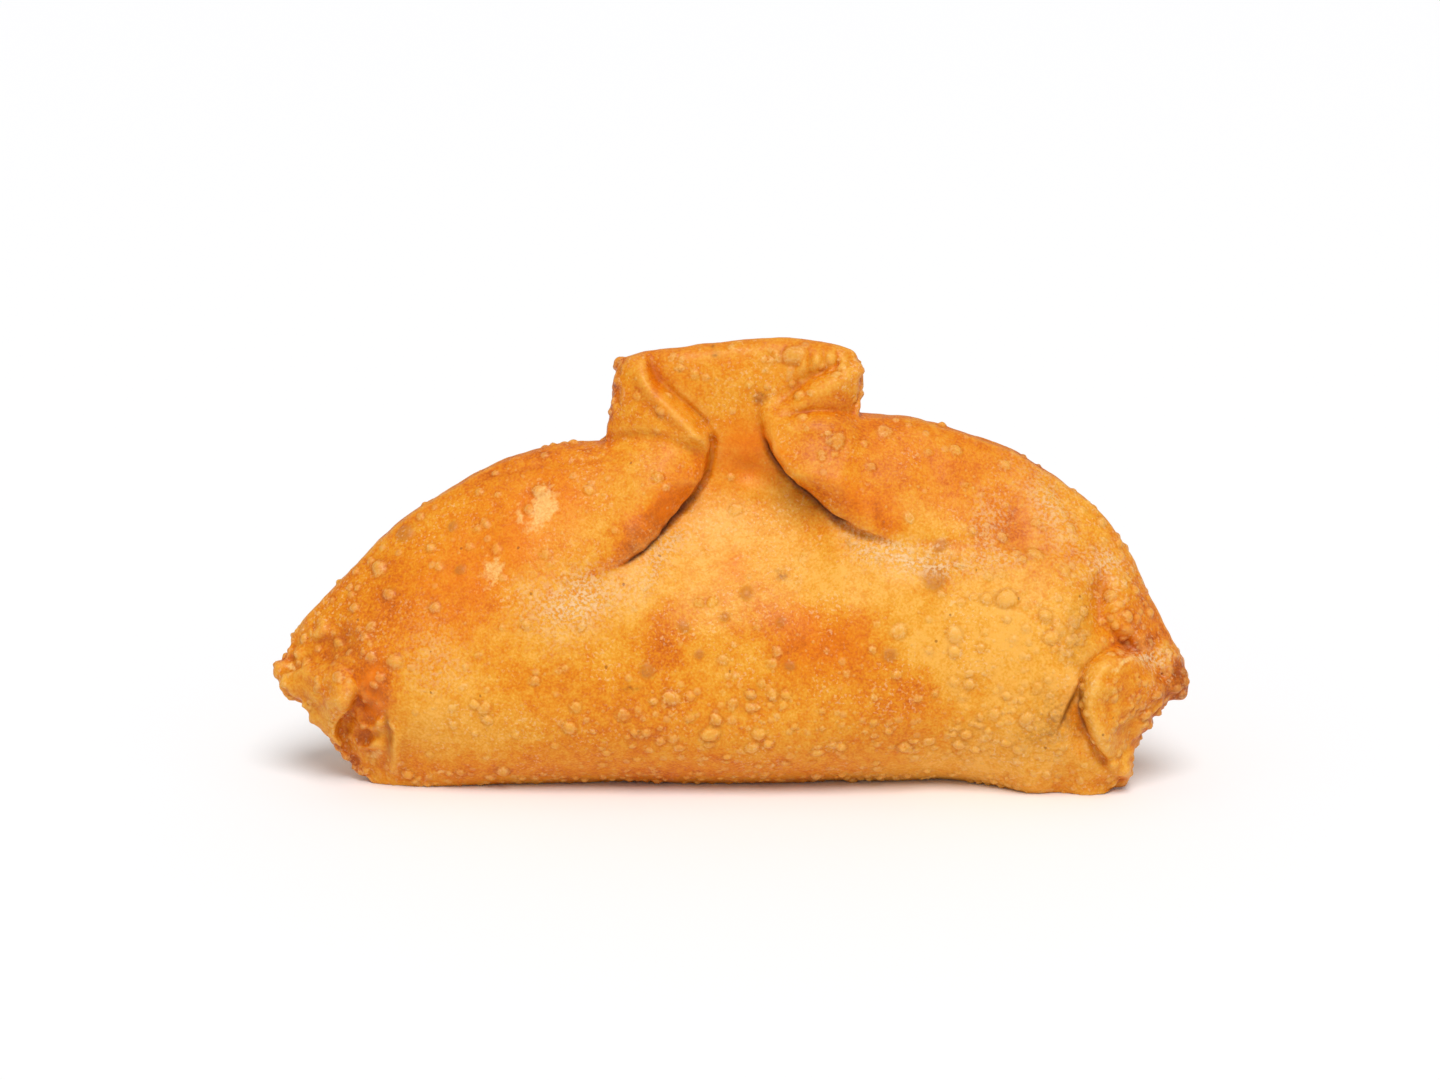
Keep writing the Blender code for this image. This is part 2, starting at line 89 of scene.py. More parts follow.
# the outline as seen from the front
leftSide = [(-48, 0), (-50.4, 1.6), (-52.7, 5), (-55, 7.8), (-57.2, 10.6), (-58.8, 11.8),
            (-60, 12.8), (-60.4, 15.2)]
leftTop = [(-60.4, 15.2), (-59.1, 17.8), (-56, 22), (-50.7, 27.6), (-44.1, 33.8), (-37.5, 38.3),
           (-30.9, 41.9), (-24.3, 44), (-17.3, 44.6)]
frill = [(-16.95, 44.6), (-16.9, 46.4), (-16.7, 48.7), (-16.1, 51), (-15.6, 53), (-15.4, 54.5),
         (-14.5, 55.6), (-12.6, 56.2), (-10.4, 56.5), (-3.6, 57.2), (1.5, 57.7), (6.1, 58), (10.6, 57.6),
         (15, 56.4), (16.9, 54.4), (17, 52.6), (17.1, 47.9)]
rightTop = [(17.3, 47.9), (19.4, 47.7), (24.7, 47.1), (31.3, 45.1), (37.9, 42.5), (43.2, 39.3),
            (48.5, 35.4), (52.2, 30.6), (54.4, 25.4), (56.5, 20.8), (57.6, 18.4), (58.8, 16.2), (59.6, 14.4)]
rightSide = [(59.6, 14.4), (59.3, 12.8), (58, 11.8), (56.2, 11.2), (55, 9.8), (54, 8.4), (53, 6.6),
             (52.7, 4.6), (52, 2.2), (50, 0)]

# The two folded shoulders of each face. A crease is the shoulder's lower edge, from the top of the
# frill down; a ridge is its top edge, where it passes in front of the frill. Of the smaller forms, a
# mound is x, z, width, height, turn and rise; a stroke is a curve, width, fading ends and rise; a tuck
# is a curve, rise, its width, the dip beside it, its width and fading ends.
front = dict(
    left=dict(
        side=-1, lift=2.2, roll=2.9,
        crease=[(-12.2, 60), (-11.4, 56.3), (-10.6, 53.3), (-8.5, 51.2), (-6.3, 49.3), (-4.6, 47.6),
                (-3.5, 46), (-3.1, 44.3), (-3.2, 42.6), (-3.7, 40.8), (-4.7, 39.1), (-6.2, 37.4),
                (-8.1, 35.7), (-10.4, 33.6), (-12.9, 31.8), (-15.4, 30.4), (-18.6, 29.3), (-24, 28.4)],
        ridge=[(-24.3, 44), (-17, 44.9), (-14, 45.6), (-11, 45.9), (-8.7, 45.8), (-6.8, 45.1),
               (-5, 43.8), (-3, 41.6)], over=0.4),
    right=dict(
        side=1, lift=2.2, roll=2.7,
        crease=[(3.4, 48.9), (3.7, 46.8), (4.3, 45.2), (5, 43.6), (6.1, 41.9), (7.6, 40.3), (9.6, 38.7),
                (12.2, 36.9), (15, 35.3), (18.4, 34.2), (22, 33.4), (28, 32.7)],
        ridge=[(2.7, 44.9), (4, 47), (6.6, 48.4), (9.8, 49), (13.5, 48.9), (17.2, 48.3), (20.5, 47.7),
               (24.7, 47.1)], over=1.3),
    frillFold=[(3.4, 45.4), (4.2, 47.6), (5.8, 49.7), (8.2, 51.6), (10.5, 53), (13, 54.1),
               (15.2, 54.9), (18, 56)],
    # the feet of the two ears' flaps
    leftFlap=[(-60.5, 15), (-58.2, 15.4), (-56.6, 16.5), (-54.6, 17.2), (-52.8, 17.5), (-51.1, 17.1),
              (-49.8, 16.1), (-49.3, 14.7), (-49.6, 12.9), (-50.4, 11.3), (-51.2, 9.8), (-51.7, 7.9),
              (-51.7, 6), (-51.4, 4), (-51.2, 2)],
    rightFlap=[(49.8, 3.2), (48.6, 4.8), (47.6, 6.8), (46.4, 9.3), (45.2, 12.3), (44.9, 14.9), (45.3, 16.9),
               (46.3, 18.4), (47.8, 19.3), (49.6, 19.6), (51.4, 19.3), (53, 18.5), (54.3, 17.4),
               (55.3, 15.9), (56, 14.2), (56.4, 12.5)],
    mounds=[
        # left ear: the hollow beside its flap, a pit and a dent; the inside of a burst blister
        (-48.3, 9.4, 2.3, 5.4, -4, -1.7), (-48.3, 11.7, 0.9, 1, 0, -1.2), (-48.4, 14.2, 0.8, 1.4, 20, 0.7),
        (-52.8, 19.2, 3, 1.5, 25, -0.9), (-55.4, 21.2, 0.45, 0.8, 0, -0.7),
        # right ear: the hollow behind its flap, the bulge above and two dents
        (44.3, 10.6, 0.9, 3.4, 14, -0.9), (51.2, 24, 2.8, 4, 15, 1.9), (55.6, 15.8, 0.6, 0.6, 0, -0.8),
        (49, 5.6, 1.6, 0.5, 10, -0.6),
        # a dent in the right shoulder; the foot swells and draws in again beside the right ear
        (36.8, 36, 5, 3.4, -30, -0.9), (38.3, 1, 3, 6, 0, 0.9), (43, 1, 2.4, 6, 0, -0.9),
        # a dimple where each crease ends
        (-19.5, 28.4, 4.2, 2.6, 20, -1), (22.5, 32.6, 4.5, 2.2, -12, -0.8)],
    strokes=[
        # left ear: two crescent folds, the pleat that closes it and its cleft
        ([(-45.8, 12), (-46.4, 10), (-47.7, 8.8), (-49.3, 9.3), (-50.2, 10.9)], 0.7, (0.35, 0.35), 0.95),
        ([(-46, 8.4), (-46.8, 7), (-48.2, 5.8), (-49.8, 6.1), (-51.2, 7.6)], 0.7, (0.35, 0.35), 0.95),
        ([(-45.4, 0.8), (-44.6, 3.6), (-44.4, 6.4), (-44.4, 9.2), (-44.8, 12)], 0.8, (0.4, 0.5), 0.8),
        ([(-46.4, 0.8), (-45.6, 3.6), (-45.4, 6.4), (-45.4, 9.2), (-45.8, 12)], 0.5, (0.4, 0.4), -0.5),
        # right ear: the dip round the bulge
        ([(49.6, 30.2), (48, 28.4), (47.2, 25.6), (47.6, 23.2), (49, 21.3), (51.2, 20.3), (53.6, 20.2)],
         1.5, (0.3, 0.2), -1.8),
        # a wrinkle across the neck
        ([(-1.6, 41.6), (1, 41.2), (3.6, 41.2), (5.6, 42)], 1.3, (0.5, 0.5), -0.6),
        ([(-0.6, 39.4), (2, 38.9), (4.4, 39), (6.4, 39.8)], 0.9, (0.5, 0.5), 0.3)],
    tucks=[
        # the strip of the back sheet that shows above the front one on the left shoulder
        ([(-36.7, 38.2), (-33.5, 39.8), (-30.4, 40.7), (-27.6, 41.3), (-24.4, 41.9), (-20.8, 42.4),
          (-16.3, 43), (-12.4, 43.5)], 0.3, 1.6, 0.35, 0.6, (0.2, 0.2)),
        # the web behind the right ear's flap, and the long low ridge on the right shoulder
        ([(45.2, 17.6), (44.5, 15.9), (43.8, 14.5), (43.2, 13.3), (42.6, 12), (42, 10.3), (41.6, 8.4)],
         0.8, 2.2, 0.7, 0.4, (0.15, 0.3)),
        ([(36, 43.8), (37.9, 42.4), (41.1, 39.4), (44.1, 35), (45.8, 31.4)],
         0.6, 2.4, 0, 1, (0.25, 0.3))])

# the back is given as seen from behind, so its x runs the other way
back = dict(
    left=dict(
        side=-1, lift=2, roll=3.4,
        crease=[(-13, 60), (-12.2, 56.6), (-11, 54), (-9.2, 51.8), (-7.4, 49.8), (-6, 48),
                (-5, 46), (-4.6, 44), (-5, 42), (-6.4, 40), (-8.8, 37.8), (-11.8, 35.6),
                (-15.2, 33.6), (-19, 32.2), (-23, 31.4), (-28, 31)],
        ridge=[(-24.7, 47.1), (-19.4, 47.7), (-13.8, 48), (-10.4, 47.4), (-7.6, 46), (-5.6, 44),
               (-4, 41.6)], over=1.3),
    right=dict(
        side=1, lift=2, roll=3.2,
        crease=[(3.2, 48.4), (3.4, 46.2), (3.8, 44.4), (4.8, 42.5), (6.4, 40.6), (8.6, 38.8), (11.2, 37),
                (14.4, 35), (18, 33.4), (22, 32.2), (27, 31.4)],
        ridge=[(2.2, 42.6), (3.6, 44.2), (6.6, 45), (9.8, 45.2), (13.5, 44.9), (17.3, 44.1),
               (24.3, 43.2)], over=1),
    frillFold=[(3.2, 44.6), (4.2, 46.8), (5.6, 48.9), (7.8, 51), (10.2, 52.8), (12.6, 54.2),
               (14.6, 55.2), (17, 56.8)],
    # a dimple where each crease ends, the shoulders' swell and dent, and a dent in the belly
    mounds=[(-21.5, 30.6, 4.4, 2.4, 16, -0.9), (20.5, 31.6, 4.5, 2.2, -14, -0.9),
            (-33, 33, 7, 4, 40, 0.7), (35, 31, 6, 3.6, -35, -0.7),
            (2, 27, 9, 3, 5, -0.7)],
    strokes=[],
    # the ears' folds
    tucks=[([(-51.5, 21.4), (-49.5, 19.6), (-48.2, 17), (-47.8, 13.8), (-48.4, 10.6), (-49.8, 7.4),
             (-51, 4.2)], 1.4, 3, 0.9, 1, (0.2, 0.2)),
           ([(50.3, 2.4), (49.6, 5), (48.6, 8.2), (47.6, 11.4), (47.4, 14.8), (48.2, 17.8), (49.5, 20.4)],
            1.3, 3, 0.8, 1, (0.2, 0.2))])


def smoothLine(points, step=0.8):  # Catmull-Rom curve through the points
    p = np.array(points, float)
    p = np.vstack([2 * p[0] - p[1], p, 2 * p[-1] - p[-2]])
    runs = []
    for a, b, c, d in zip(p[:-3], p[1:-2], p[2:-1], p[3:]):
        count = max(1, int(np.linalg.norm(c - b) / step))
        t = (np.arange(count) / count)[:, None]
        runs.append(0.5 * (2 * b + (c - a) * t + (2 * a - 5 * b + 4 * c - d) * t ** 2
                           + (3 * b - a - 3 * c + d) * t ** 3))
    return np.vstack(runs + [p[-2][None]])


def ease(low, high, value):  # rises smoothly from 0 at low to 1 at high; falls if they are swapped
    t = np.clip((value - low) / (high - low), 0, 1)
    return t * t * (3 - 2 * t)


def slowEase(low, high, value):  # the same with softer ends
    t = np.clip((value - low) / (high - low), 0, 1)
    return t * t * t * (10 - 15 * t + 6 * t * t)


def rounded(distance, radius):  # a folded edge: 0 outside it, a quarter round inside it, then 1
    t = np.clip(distance / radius, 0, 1)
    return np.sqrt(1 - (1 - t) ** 2)


def bell(distance, width):  # 1 on a line, falling off softly over width
    return np.exp(-(distance / width) ** 2)


def mound(x, z, at, radii, turn=0.0):  # a soft oval hill of height 1, turned by degrees
    c, s = math.cos(math.radians(turn)), math.sin(math.radians(turn))
    dx, dz = x - at[0], z - at[1]
    return np.exp(-((dx * c + dz * s) / radii[0]) ** 2 - ((dz * c - dx * s) / radii[1]) ** 2)


def patches(rows, x, z):  # the sum of mounds given as x, z, width, height, turn and strength
    total = np.zeros(x.shape)
    for atX, atZ, wide, high, turn, strength in rows:
        total += strength * mound(x, z, (atX, atZ), (wide, high), turn)
    return total


def fromLine(points, x, z, onward=False):
    # signed distance to a curve, positive on the right of someone walking along it, the share of the
    # way at which the nearest point lies, and the direction away from the curve; onward carries both
    # of its ends straight on
    line = smoothLine(points)
    if onward:
        before, after = line[0] - line[1], line[-1] - line[-2]
        line = np.vstack([line[0] + 80 * before, line, line[-1] + 80 * after])
    nearest = np.full(x.shape, np.inf)
    side = np.ones(x.shape)
    along, awayX, awayZ = np.zeros(x.shape), np.zeros(x.shape), np.zeros(x.shape)
    walked = 0.0
    for a, b in zip(line[:-1], line[1:]):
        d = b - a
        length = math.hypot(d[0], d[1])
        t = np.clip(((x - a[0]) * d[0] + (z - a[1]) * d[1]) / length ** 2, 0, 1)
        ex, ez = x - a[0] - t * d[0], z - a[1] - t * d[1]
        square = ex * ex + ez * ez
        closer = square < nearest
        nearest[closer] = square[closer]
        side[closer] = np.where(d[1] * ex - d[0] * ez < 0, -1.0, 1.0)[closer]
        along[closer] = (walked + t * length)[closer]
        awayX[closer], awayZ[closer] = ex[closer], ez[closer]
        walked += length
    distance = np.sqrt(nearest)
    far = np.maximum(distance, 1e-6)
    return distance * side, along / walked, (awayX / far, awayZ / far)


def around(points, x, z, margin):  # the places near a curve, so that the rest can be skipped
    line = np.array(points)
    return ((x > line[:, 0].min() - margin) & (x < line[:, 0].max() + margin)
            & (z > line[:, 1].min() - margin) & (z < line[:, 1].max() + margin))


def alongLine(points, x, z, width, ends):
    # a soft stroke that follows the curve; ends are the shares of its length over which it fades
    close = around(points, x, z, 4 * width)
    d, t, away = fromLine(points, x[close], z[close])
    stroke = np.zeros(x.shape)
    stroke[close] = bell(d, width) * ease(0, ends[0], t) * (1 - ease(1 - ends[1], 1, t))
    return stroke


def tuck(points, x, z, up, upWidth, down, downWidth, ends):
    # a small fold: the dough rises on the right of the curve and sinks again over upWidth, and dips
    # on its left
    close = around(points, x, z, 5 * max(upWidth, downWidth))
    d, t, away = fromLine(points, x[close], z[close])
    hold = ease(0, ends[0], t) * (1 - ease(1 - ends[1], 1, t))
    rise = up * rounded(d, 0.45 * upWidth)
    rise = rise * np.exp(-np.maximum(d, 0) / upWidth)
    dip = down * np.exp(-np.abs(d) / downWidth) * np.where(d > 0, np.maximum(1 - d / 0.8, 0), 1)
    relief = np.zeros(x.shape)
    relief[close] = hold * (rise - dip)
    return relief


def sortedProfile(*lines):  # the curves as one line from left to right
    line = np.vstack([smoothLine(points) for points in lines])
    return line[np.argsort(line[:, 0], kind="stable")]


def seamDistance(x, z):
    # softly blended distance to the closed seam: both sides, both shoulders and the neck between them
    neck = [(-1.5, 43.0), (1.5, 43.6)]
    top = leftTop[:-1] + front["left"]["ridge"][1:-2] + neck + front["right"]["ridge"][1:-2] + rightTop
    total = 0.0
    for line in (leftSide, top, rightSide):
        distance = fromLine(line, x, z)[0]
        total = total + np.maximum(np.abs(distance), 0.01) ** -pocket["seamSoft"]
        if line is top:
            above = distance < 0
    return np.where(above, 0.0, total ** (-1 / pocket["seamSoft"]))


def bellyDepth(x, z):
    reach = np.clip(seamDistance(x, z) / pocket["seamReach"], 0, 1)
    under = np.clip((pocket["footRound"] - z) / (pocket["footRound"] * pocket["footHold"]), 0, 1)
    return pocket["bellyDepth"] * np.sin(0.5 * math.pi * reach) ** 0.85 * np.sqrt(1 - under ** 2)


def layShoulder(under, frillFace, belly, x, z, shoulder):
    side = shoulder["side"]
    distance, along, away = fromLine(shoulder["crease"], x, z, True)
    crease = -side * distance
    ridge = fromLine(shoulder["ridge"], x, z, True)[0]
    near = side * x > -5
    lift = shoulder["lift"] * ease(-28, -10, -np.abs(x)) * ease(28, 44, z)  # plumper beside the neck
    # where the shoulder passes in front of the frill it lies on the frill's face, elsewhere on the belly
    inFront = ease(35, 41, z) * ease(23, 15, np.abs(x))
    body = belly + pocket["rim"] + lift
    over = frillFace + shoulder["over"] - pocket["outOfReach"] * (1 - inFront)
    rise = np.maximum(0.5 * (body + over + np.sqrt((body - over) ** 2 + 1)) - under, 0)
    # a rolled step at the foot of the shoulder, higher beside the neck and fading towards the ear,
    # then a long slope up to its full height
    fading = 1 - slowEase(15, 25, np.abs(x))
    step = np.minimum(rise, pocket["foldStep"] + pocket["foldStepMore"] * slowEase(36, 48, z)) * fading
    roll = pocket["edgeRoll"] + (shoulder["roll"] - pocket["edgeRoll"]) * ease(47, 39, z)
    slope = pocket["foldSlope"] * (1 - 0.6 * ease(36, 46, z))
    climb = np.sin(0.5 * math.pi * np.clip(crease / slope, 0, 1))
    cover = step * rounded(crease, roll) + (rise - step) * climb
    # near the crease the top edge melts into the roll that comes down from the frill
    melted = bell(np.maximum(crease - 1.5, 0), 2.2)
    top = rounded(ridge, pocket["ridgeRoll"]) * (1 - melted) + ease(-3.5, 2.5, ridge) * melted
    laid = under + cover * top * near
    # a slit under the step, a shallow groove above the ridge, and the step's bulge over its own foot
    deep = near * ease(29, 34, z) * (1 - ease(44, 47, z))
    slit = pocket["slit"] * bell(crease + 0.25, 0.4) * deep * fading
    groove = pocket["ridgeGroove"] * bell(ridge + 0.4, 0.45) * ease(44, 46, z) * ease(17, 15, np.abs(x))
    slit = slit + groove * near * ease(2, 5, crease)
    push = pocket["overhang"] * bell(crease - 1.2, 0.9) * (crease > 0) * deep
    return laid - slit, (-push * away[0], -push * away[1])


# the frill's folds: heights and widths in millimetres
frillFolds = dict(
    underLeft=2.4, underRight=2.2,                   # extra thickness under each shoulder's upper end
    panel=0.5, panelInward=2.6, panelTop=-0.8,       # the left panel, towards the middle and at its top
    panelRoll=1.5,
    bead=0.4, beadWidth=1.0,                         # its rolled edge, the hollow behind that
    hollow=0.22, hollowWidth=0.9,
    cleft=0.7, cleftWidth=0.5, cleftWider=0.7,       # and the cleft in front of it, wider higher up
    flap=1.7, flapRoll=2.6, flapCrisper=-0.9,        # the right panel's edge, crisper away from the neck
    flapFoot=0.3, flapFootMore=0.4)                  # and the dip along it, deeper there


def faceDepth(x, z, face, edge):
    # distance of one face from the middle of the dough, and the sideways bulge of its big folds
    belly = bellyDepth(x, z) if face is front else bellyDepth(-x, z)
    pinch = 1 - pocket["neckPinch"] * slowEase(pocket["neckLow"], pocket["neckHigh"], z) * (
        1 - slowEase(5, 23, np.abs(x - 1.5)))
    sheet = pocket["frillSheet"] * (1 - np.exp(-edge / 1.5)) * ease(34, 46, z)
    rim = pocket["rim"] * (0.3 + 0.7 * rounded(edge, pocket["rimRound"]))
    depth = rim + np.sqrt((belly * pinch) ** 2 + sheet ** 2)
    # the face without its folds, thicker in the middle, on which the shoulders come to lie
    fold = frillFolds
    plain = depth + fold["underLeft"] * ease(-17, -4, x) * ease(6, -2, x)
    plain = plain + fold["underRight"] * ease(0, 6, x) * (1 - 0.55 * ease(11, 17, x))
    # the frill's left panel with the rolled edge that runs down into the shoulder's crease
    up = ease(42.5, 46.5, z)
    d = fromLine(face["left"]["crease"], x, z, True)[0]
    near = x < 3
    panel = fold["panel"] + fold["panelInward"] * ease(-17, -4, x) + fold["panelTop"] * ease(50, 58, z)
    panel = panel * rounded(d, fold["panelRoll"])
    bead = fold["bead"] * bell(d - 1.0, fold["beadWidth"]) * ease(56, 53, z)
    hollow = fold["hollow"] * bell(d - 2.8, fold["hollowWidth"]) * ease(45, 48, z)
    hollow = hollow * (1 - 0.6 * ease(52, 55, z))
    bead = (bead - hollow) * (d > 0)
    cleft = fold["cleft"] * bell(d + 0.4, fold["cleftWidth"] + fold["cleftWider"] * ease(51.5, 53.5, z))
    cleft = cleft * (1 - 0.7 * ease(54.5, 57, z))
    depth = depth + (panel + bead - cleft) * up * near
    # its right panel, folded forward
    d = fromLine(face["frillFold"], x, z, True)[0]
    hold = ease(45, 47, z) * ease(3.5, 9, x) * (1 - 0.55 * ease(11, 17, x))
    crisp = ease(5, 11, x)
    flap = fold["flap"] * rounded(d, fold["flapRoll"] + fold["flapCrisper"] * crisp)
    flap = flap * np.exp(-np.maximum(d - 1.6, 0) / 8)
    flapFoot = (fold["flapFoot"] + fold["flapFootMore"] * crisp) * bell(d + 0.7, 1.2 - 0.5 * crisp)
    depth = depth + hold * (flap - flapFoot)
    depth, leftPush = layShoulder(depth, plain, belly, x, z, face["left"])
    depth, rightPush = layShoulder(depth, plain, belly, x, z, face["right"])
    return depth, leftPush[0] + rightPush[0], leftPush[1] + rightPush[1]


def layFlap(points, x, z, height, roll, groove):
    # a flap folded forward: a puffed field on the right of the curve, a soft groove along its foot
    close = np.abs(x - points[0][0]) < 24
    d = fromLine(points, x[close], z[close], True)[0]
    relief = np.zeros(x.shape)
    relief[close] = (height[close] * rounded(d, roll) * np.exp(-np.maximum(d, 0) / 14)
                     - groove[close] * bell(d + 0.35, 0.7))
    return relief


def smallForms(face, x, z):
    relief = patches(face["mounds"], x, z)
    for line, width, ends, rise in face["strokes"]:
        relief += rise * alongLine(line, x, z, width, ends)
    for line, up, upWidth, down, downWidth, ends in face["tucks"]:
        relief += tuck(line, x, z, up, upWidth, down, downWidth, ends)
    return relief


def frontForms(x, z):  # the forms that only the front has
    relief = smallForms(front, x, z)
    # ruffles in the frill's top edge
    for at, turn in ((9.0, -4), (10.7, 0), (12.6, 6), (14.2, 12)):
        relief += 0.75 * mound(x, z, (at, 55.8), (0.6, 1.9), turn)
        relief -= 0.4 * mound(x, z, (at + 0.9, 55.6), (0.35, 1.6), turn)
    # the ears' flaps, each puffed most beside the belly
    low = ease(17.5, 12.5, z)
    height = (0.6 + 1.6 * low * ease(-59, -51, x)) * ease(0, 3, z)
    relief += layFlap(front["leftFlap"], x, z, height, 1.3, 0.25 + 0.6 * low)
    height = (2.5 - 1.2 * ease(46, 55, x)) * ease(0, 9, z)
    groove = (0.9 - 0.4 * ease(46, 52, x)) * ease(3, 9, z)
    relief += layFlap(front["rightFlap"], x, z, height, 1.5, groove)
    # the rim of a burst blister, curled open
    return relief + 0.6 * bell(np.hypot(x + 54.9, z - 21.2) - 1.0, 0.45)


def middleOfDough(x, z):  # the ears lean forward, the frill leans back
    low = 1 - z / pocket["earHeight"]
    ears = pocket["rightEarForward"] * ease(25, 50, x) + pocket["leftEarForward"] * ease(14, 50, -x)
    return pocket["frillLean"] * np.maximum(z - 44, 0) - ears * low


def denserAtEnds(t, share):
    return (1 - share) * t + share * (0.5 - 0.5 * np.cos(math.pi * t))


def fromRim(x, z):
    outline = leftSide[:-1] + leftTop + frill + rightTop + rightSide[1:]
    return np.abs(fromLine(outline, x, z)[0])


def sheetPoints(u, v, side):
    topLine = sortedProfile(leftTop, frill, rightTop)
    footLine = sortedProfile(leftSide, rightSide)
    inset = 0.15  # keeps the outermost columns from closing to a point
    lowX, highX = topLine[0, 0] + inset, topLine[-1, 0] - inset
    x = lowX + (highX - lowX) * denserAtEnds(u, pocket["endColumns"])
    top = np.interp(x, topLine[:, 0], topLine[:, 1])
    foot = np.interp(x, footLine[:, 0], footLine[:, 1])
    # most rows end just under the shoulders, so that they pass below the frill undisturbed
    shoulder = foot + 0.96 * (np.minimum(top, np.interp(x, (-17, 17), (43.5, 47.2))) - foot)
    lowV = np.minimum(v / pocket["bodyRows"], 1)
    highV = np.maximum(v - pocket["bodyRows"], 0) / (1 - pocket["bodyRows"])
    z = foot + (shoulder - foot) * (1 - (1 - lowV) ** 0.9 * (1 - 0.35 * lowV)) + (top - shoulder) * highV
    edge = fromRim(x, z)
    calm = ease(0, 1.5, edge)
    if side == "front":
        depth, pushX, pushZ = faceDepth(x, z, front, edge)
        depth = depth + calm * frontForms(x, z)
        y = middleOfDough(x, z) - np.maximum(depth, 0.3)
    else:
        depth, pushX, pushZ = faceDepth(-x, z, back, edge)
        pushX = -pushX
        depth = depth + calm * smallForms(back, -x, z)
        y = middleOfDough(x, z) + np.maximum(depth, 0.3)
    # the frill narrows towards its foot on the right
    narrow = pocket["frillNarrow"] * bell(z - 48.6, 3.0) * ease(12, 17, x) * (1 - ease(17.2, 22, x))
    return np.stack([x + pushX - narrow, y, z + pushZ], axis=-1) * mm


def meshFrom(bm, name):
    mesh = bpy.data.meshes.new(name)
    bm.to_mesh(mesh)
    bm.free()
    return mesh


def makePocket():
    bm = bmesh.new()
    for side in ("front", "back"):
        grid = bmesh.ops.create_grid(bm, x_segments=pocket["columns"], y_segments=pocket["rows"], size=0.5)
        verts = grid["verts"]
        flat = np.array([v.co[:] for v in verts]) + 0.5
        for vert, place in zip(verts, sheetPoints(flat[:, 0], flat[:, 1], side)):
            vert.co = place
        if side == "back":
            bmesh.ops.reverse_faces(bm, faces=list({f for v in verts for f in v.link_faces}))
    bmesh.ops.bridge_loops(bm, edges=[e for e in bm.edges if e.is_boundary])
    return meshFrom(bm, "pocketSheets")


def put(name, data):
    thing = bpy.data.objects.new(name, data)
    bpy.context.scene.collection.objects.link(thing)
    return thing


def throughModifiers(mesh, settings):
    # the mesh as a list of modifiers leaves it
    carrier = put("carrier", mesh)
    for kind, values in settings:
        modifier = carrier.modifiers.new(kind.lower(), kind)
        for key, value in values.items():
            setattr(modifier, key, value)
    graph = bpy.context.evaluated_depsgraph_get()
    result = bpy.data.meshes.new_from_object(carrier.evaluated_get(graph))
    bpy.data.objects.remove(carrier)
    return result


def ofPoints(mesh, kind):  # the places or the normals of all points, as rows of three
    flat = np.empty(len(mesh.vertices) * 3, np.float32)
    mesh.vertices.foreach_get(kind, flat)
    return flat.reshape(-1, 3).astype(float)


skin = throughModifiers(makePocket(), [("REMESH", dict(mode="VOXEL", voxel_size=pocket["voxel"] * mm)),
                                       ("SMOOTH", dict(iterations=pocket["soften"]))])
print("pocket joined to one skin:", len(skin.vertices), "points")


# unevenness, ragged edges and fry blisters, in millimetres
relief = dict(
    # size, height and random seed of the dough's unevenness
    lumps=[(17.0, 0.40, 10), (7.0, 0.18, 11), (2.8, 0.06, 12)],
    ragged=[(2.2, 0.55, 11), (1.2, 0.60, 12)],          # the same for the cut edges
    folds=[(1.6, 0.25, 10)],                            # for the lips of the creases
    ears=[(3.4, 0.36, 9), (1.6, 0.30, 10)])             # and for the ears

lattice = dict(heights=4096, scatter=(73856093, 19349663, 83492791))  # primes that mix up the cells


def lumpy(points, size, seed):  # smooth random lumps of about that size, from -1 to 1
    heights = np.random.default_rng(seed).uniform(-1, 1, lattice["heights"])
    cell = np.floor(points / size).astype(np.int64)
    part = points / size - cell
    part = part * part * (3 - 2 * part)
    total = np.zeros(len(points))
    for corner in np.ndindex(2, 2, 2):
        at = (cell + corner) * lattice["scatter"]
        weight = np.prod(np.where(corner, part, 1 - part), axis=1)
        total += weight * heights[(at[:, 0] ^ at[:, 1] ^ at[:, 2]) % lattice["heights"]]
    return total


def fromCreases(x, z, onFront):
    # distance to the nearest crease, where that is open, and whether the point lies on the shoulder
    distance, above = np.full(x.shape, 9.0), np.zeros(x.shape, bool)
    for shoulders, mask, turned in ((front, onFront, 1), (back, ~onFront, -1)):
        for name in ("left", "right"):
            crease = [point for point in shoulders[name]["crease"] if 29 < point[1] < 50]
            d, t, away = fromLine(crease, turned * x[mask], z[mask])
            reach = np.abs(d) + 2.5 * ease(13, 19, np.abs(x[mask])) + 3 * ease(0.12, 0, t)
            above[mask] = np.where(reach < distance[mask], -shoulders[name]["side"] * d > 0, above[mask])
            distance[mask] = np.minimum(distance[mask], reach)
    return distance, above


def raggedness(x, z):
    # the cut left the ears' lower edges and the frill's sides ragged; the seam on top is smoother
    ears = ease(-47, -49, x) * ease(20, 16, z) + ease(49, 51, x) * ease(18, 15, z)
    sides = ease(45.8, 47.4, z) * ease(-13.5, -15.5, x) + ease(49, 50.6, z) * ease(14.5, 16.5, x)
    return np.clip(0.15 + ears + 0.7 * sides, 0, 1)


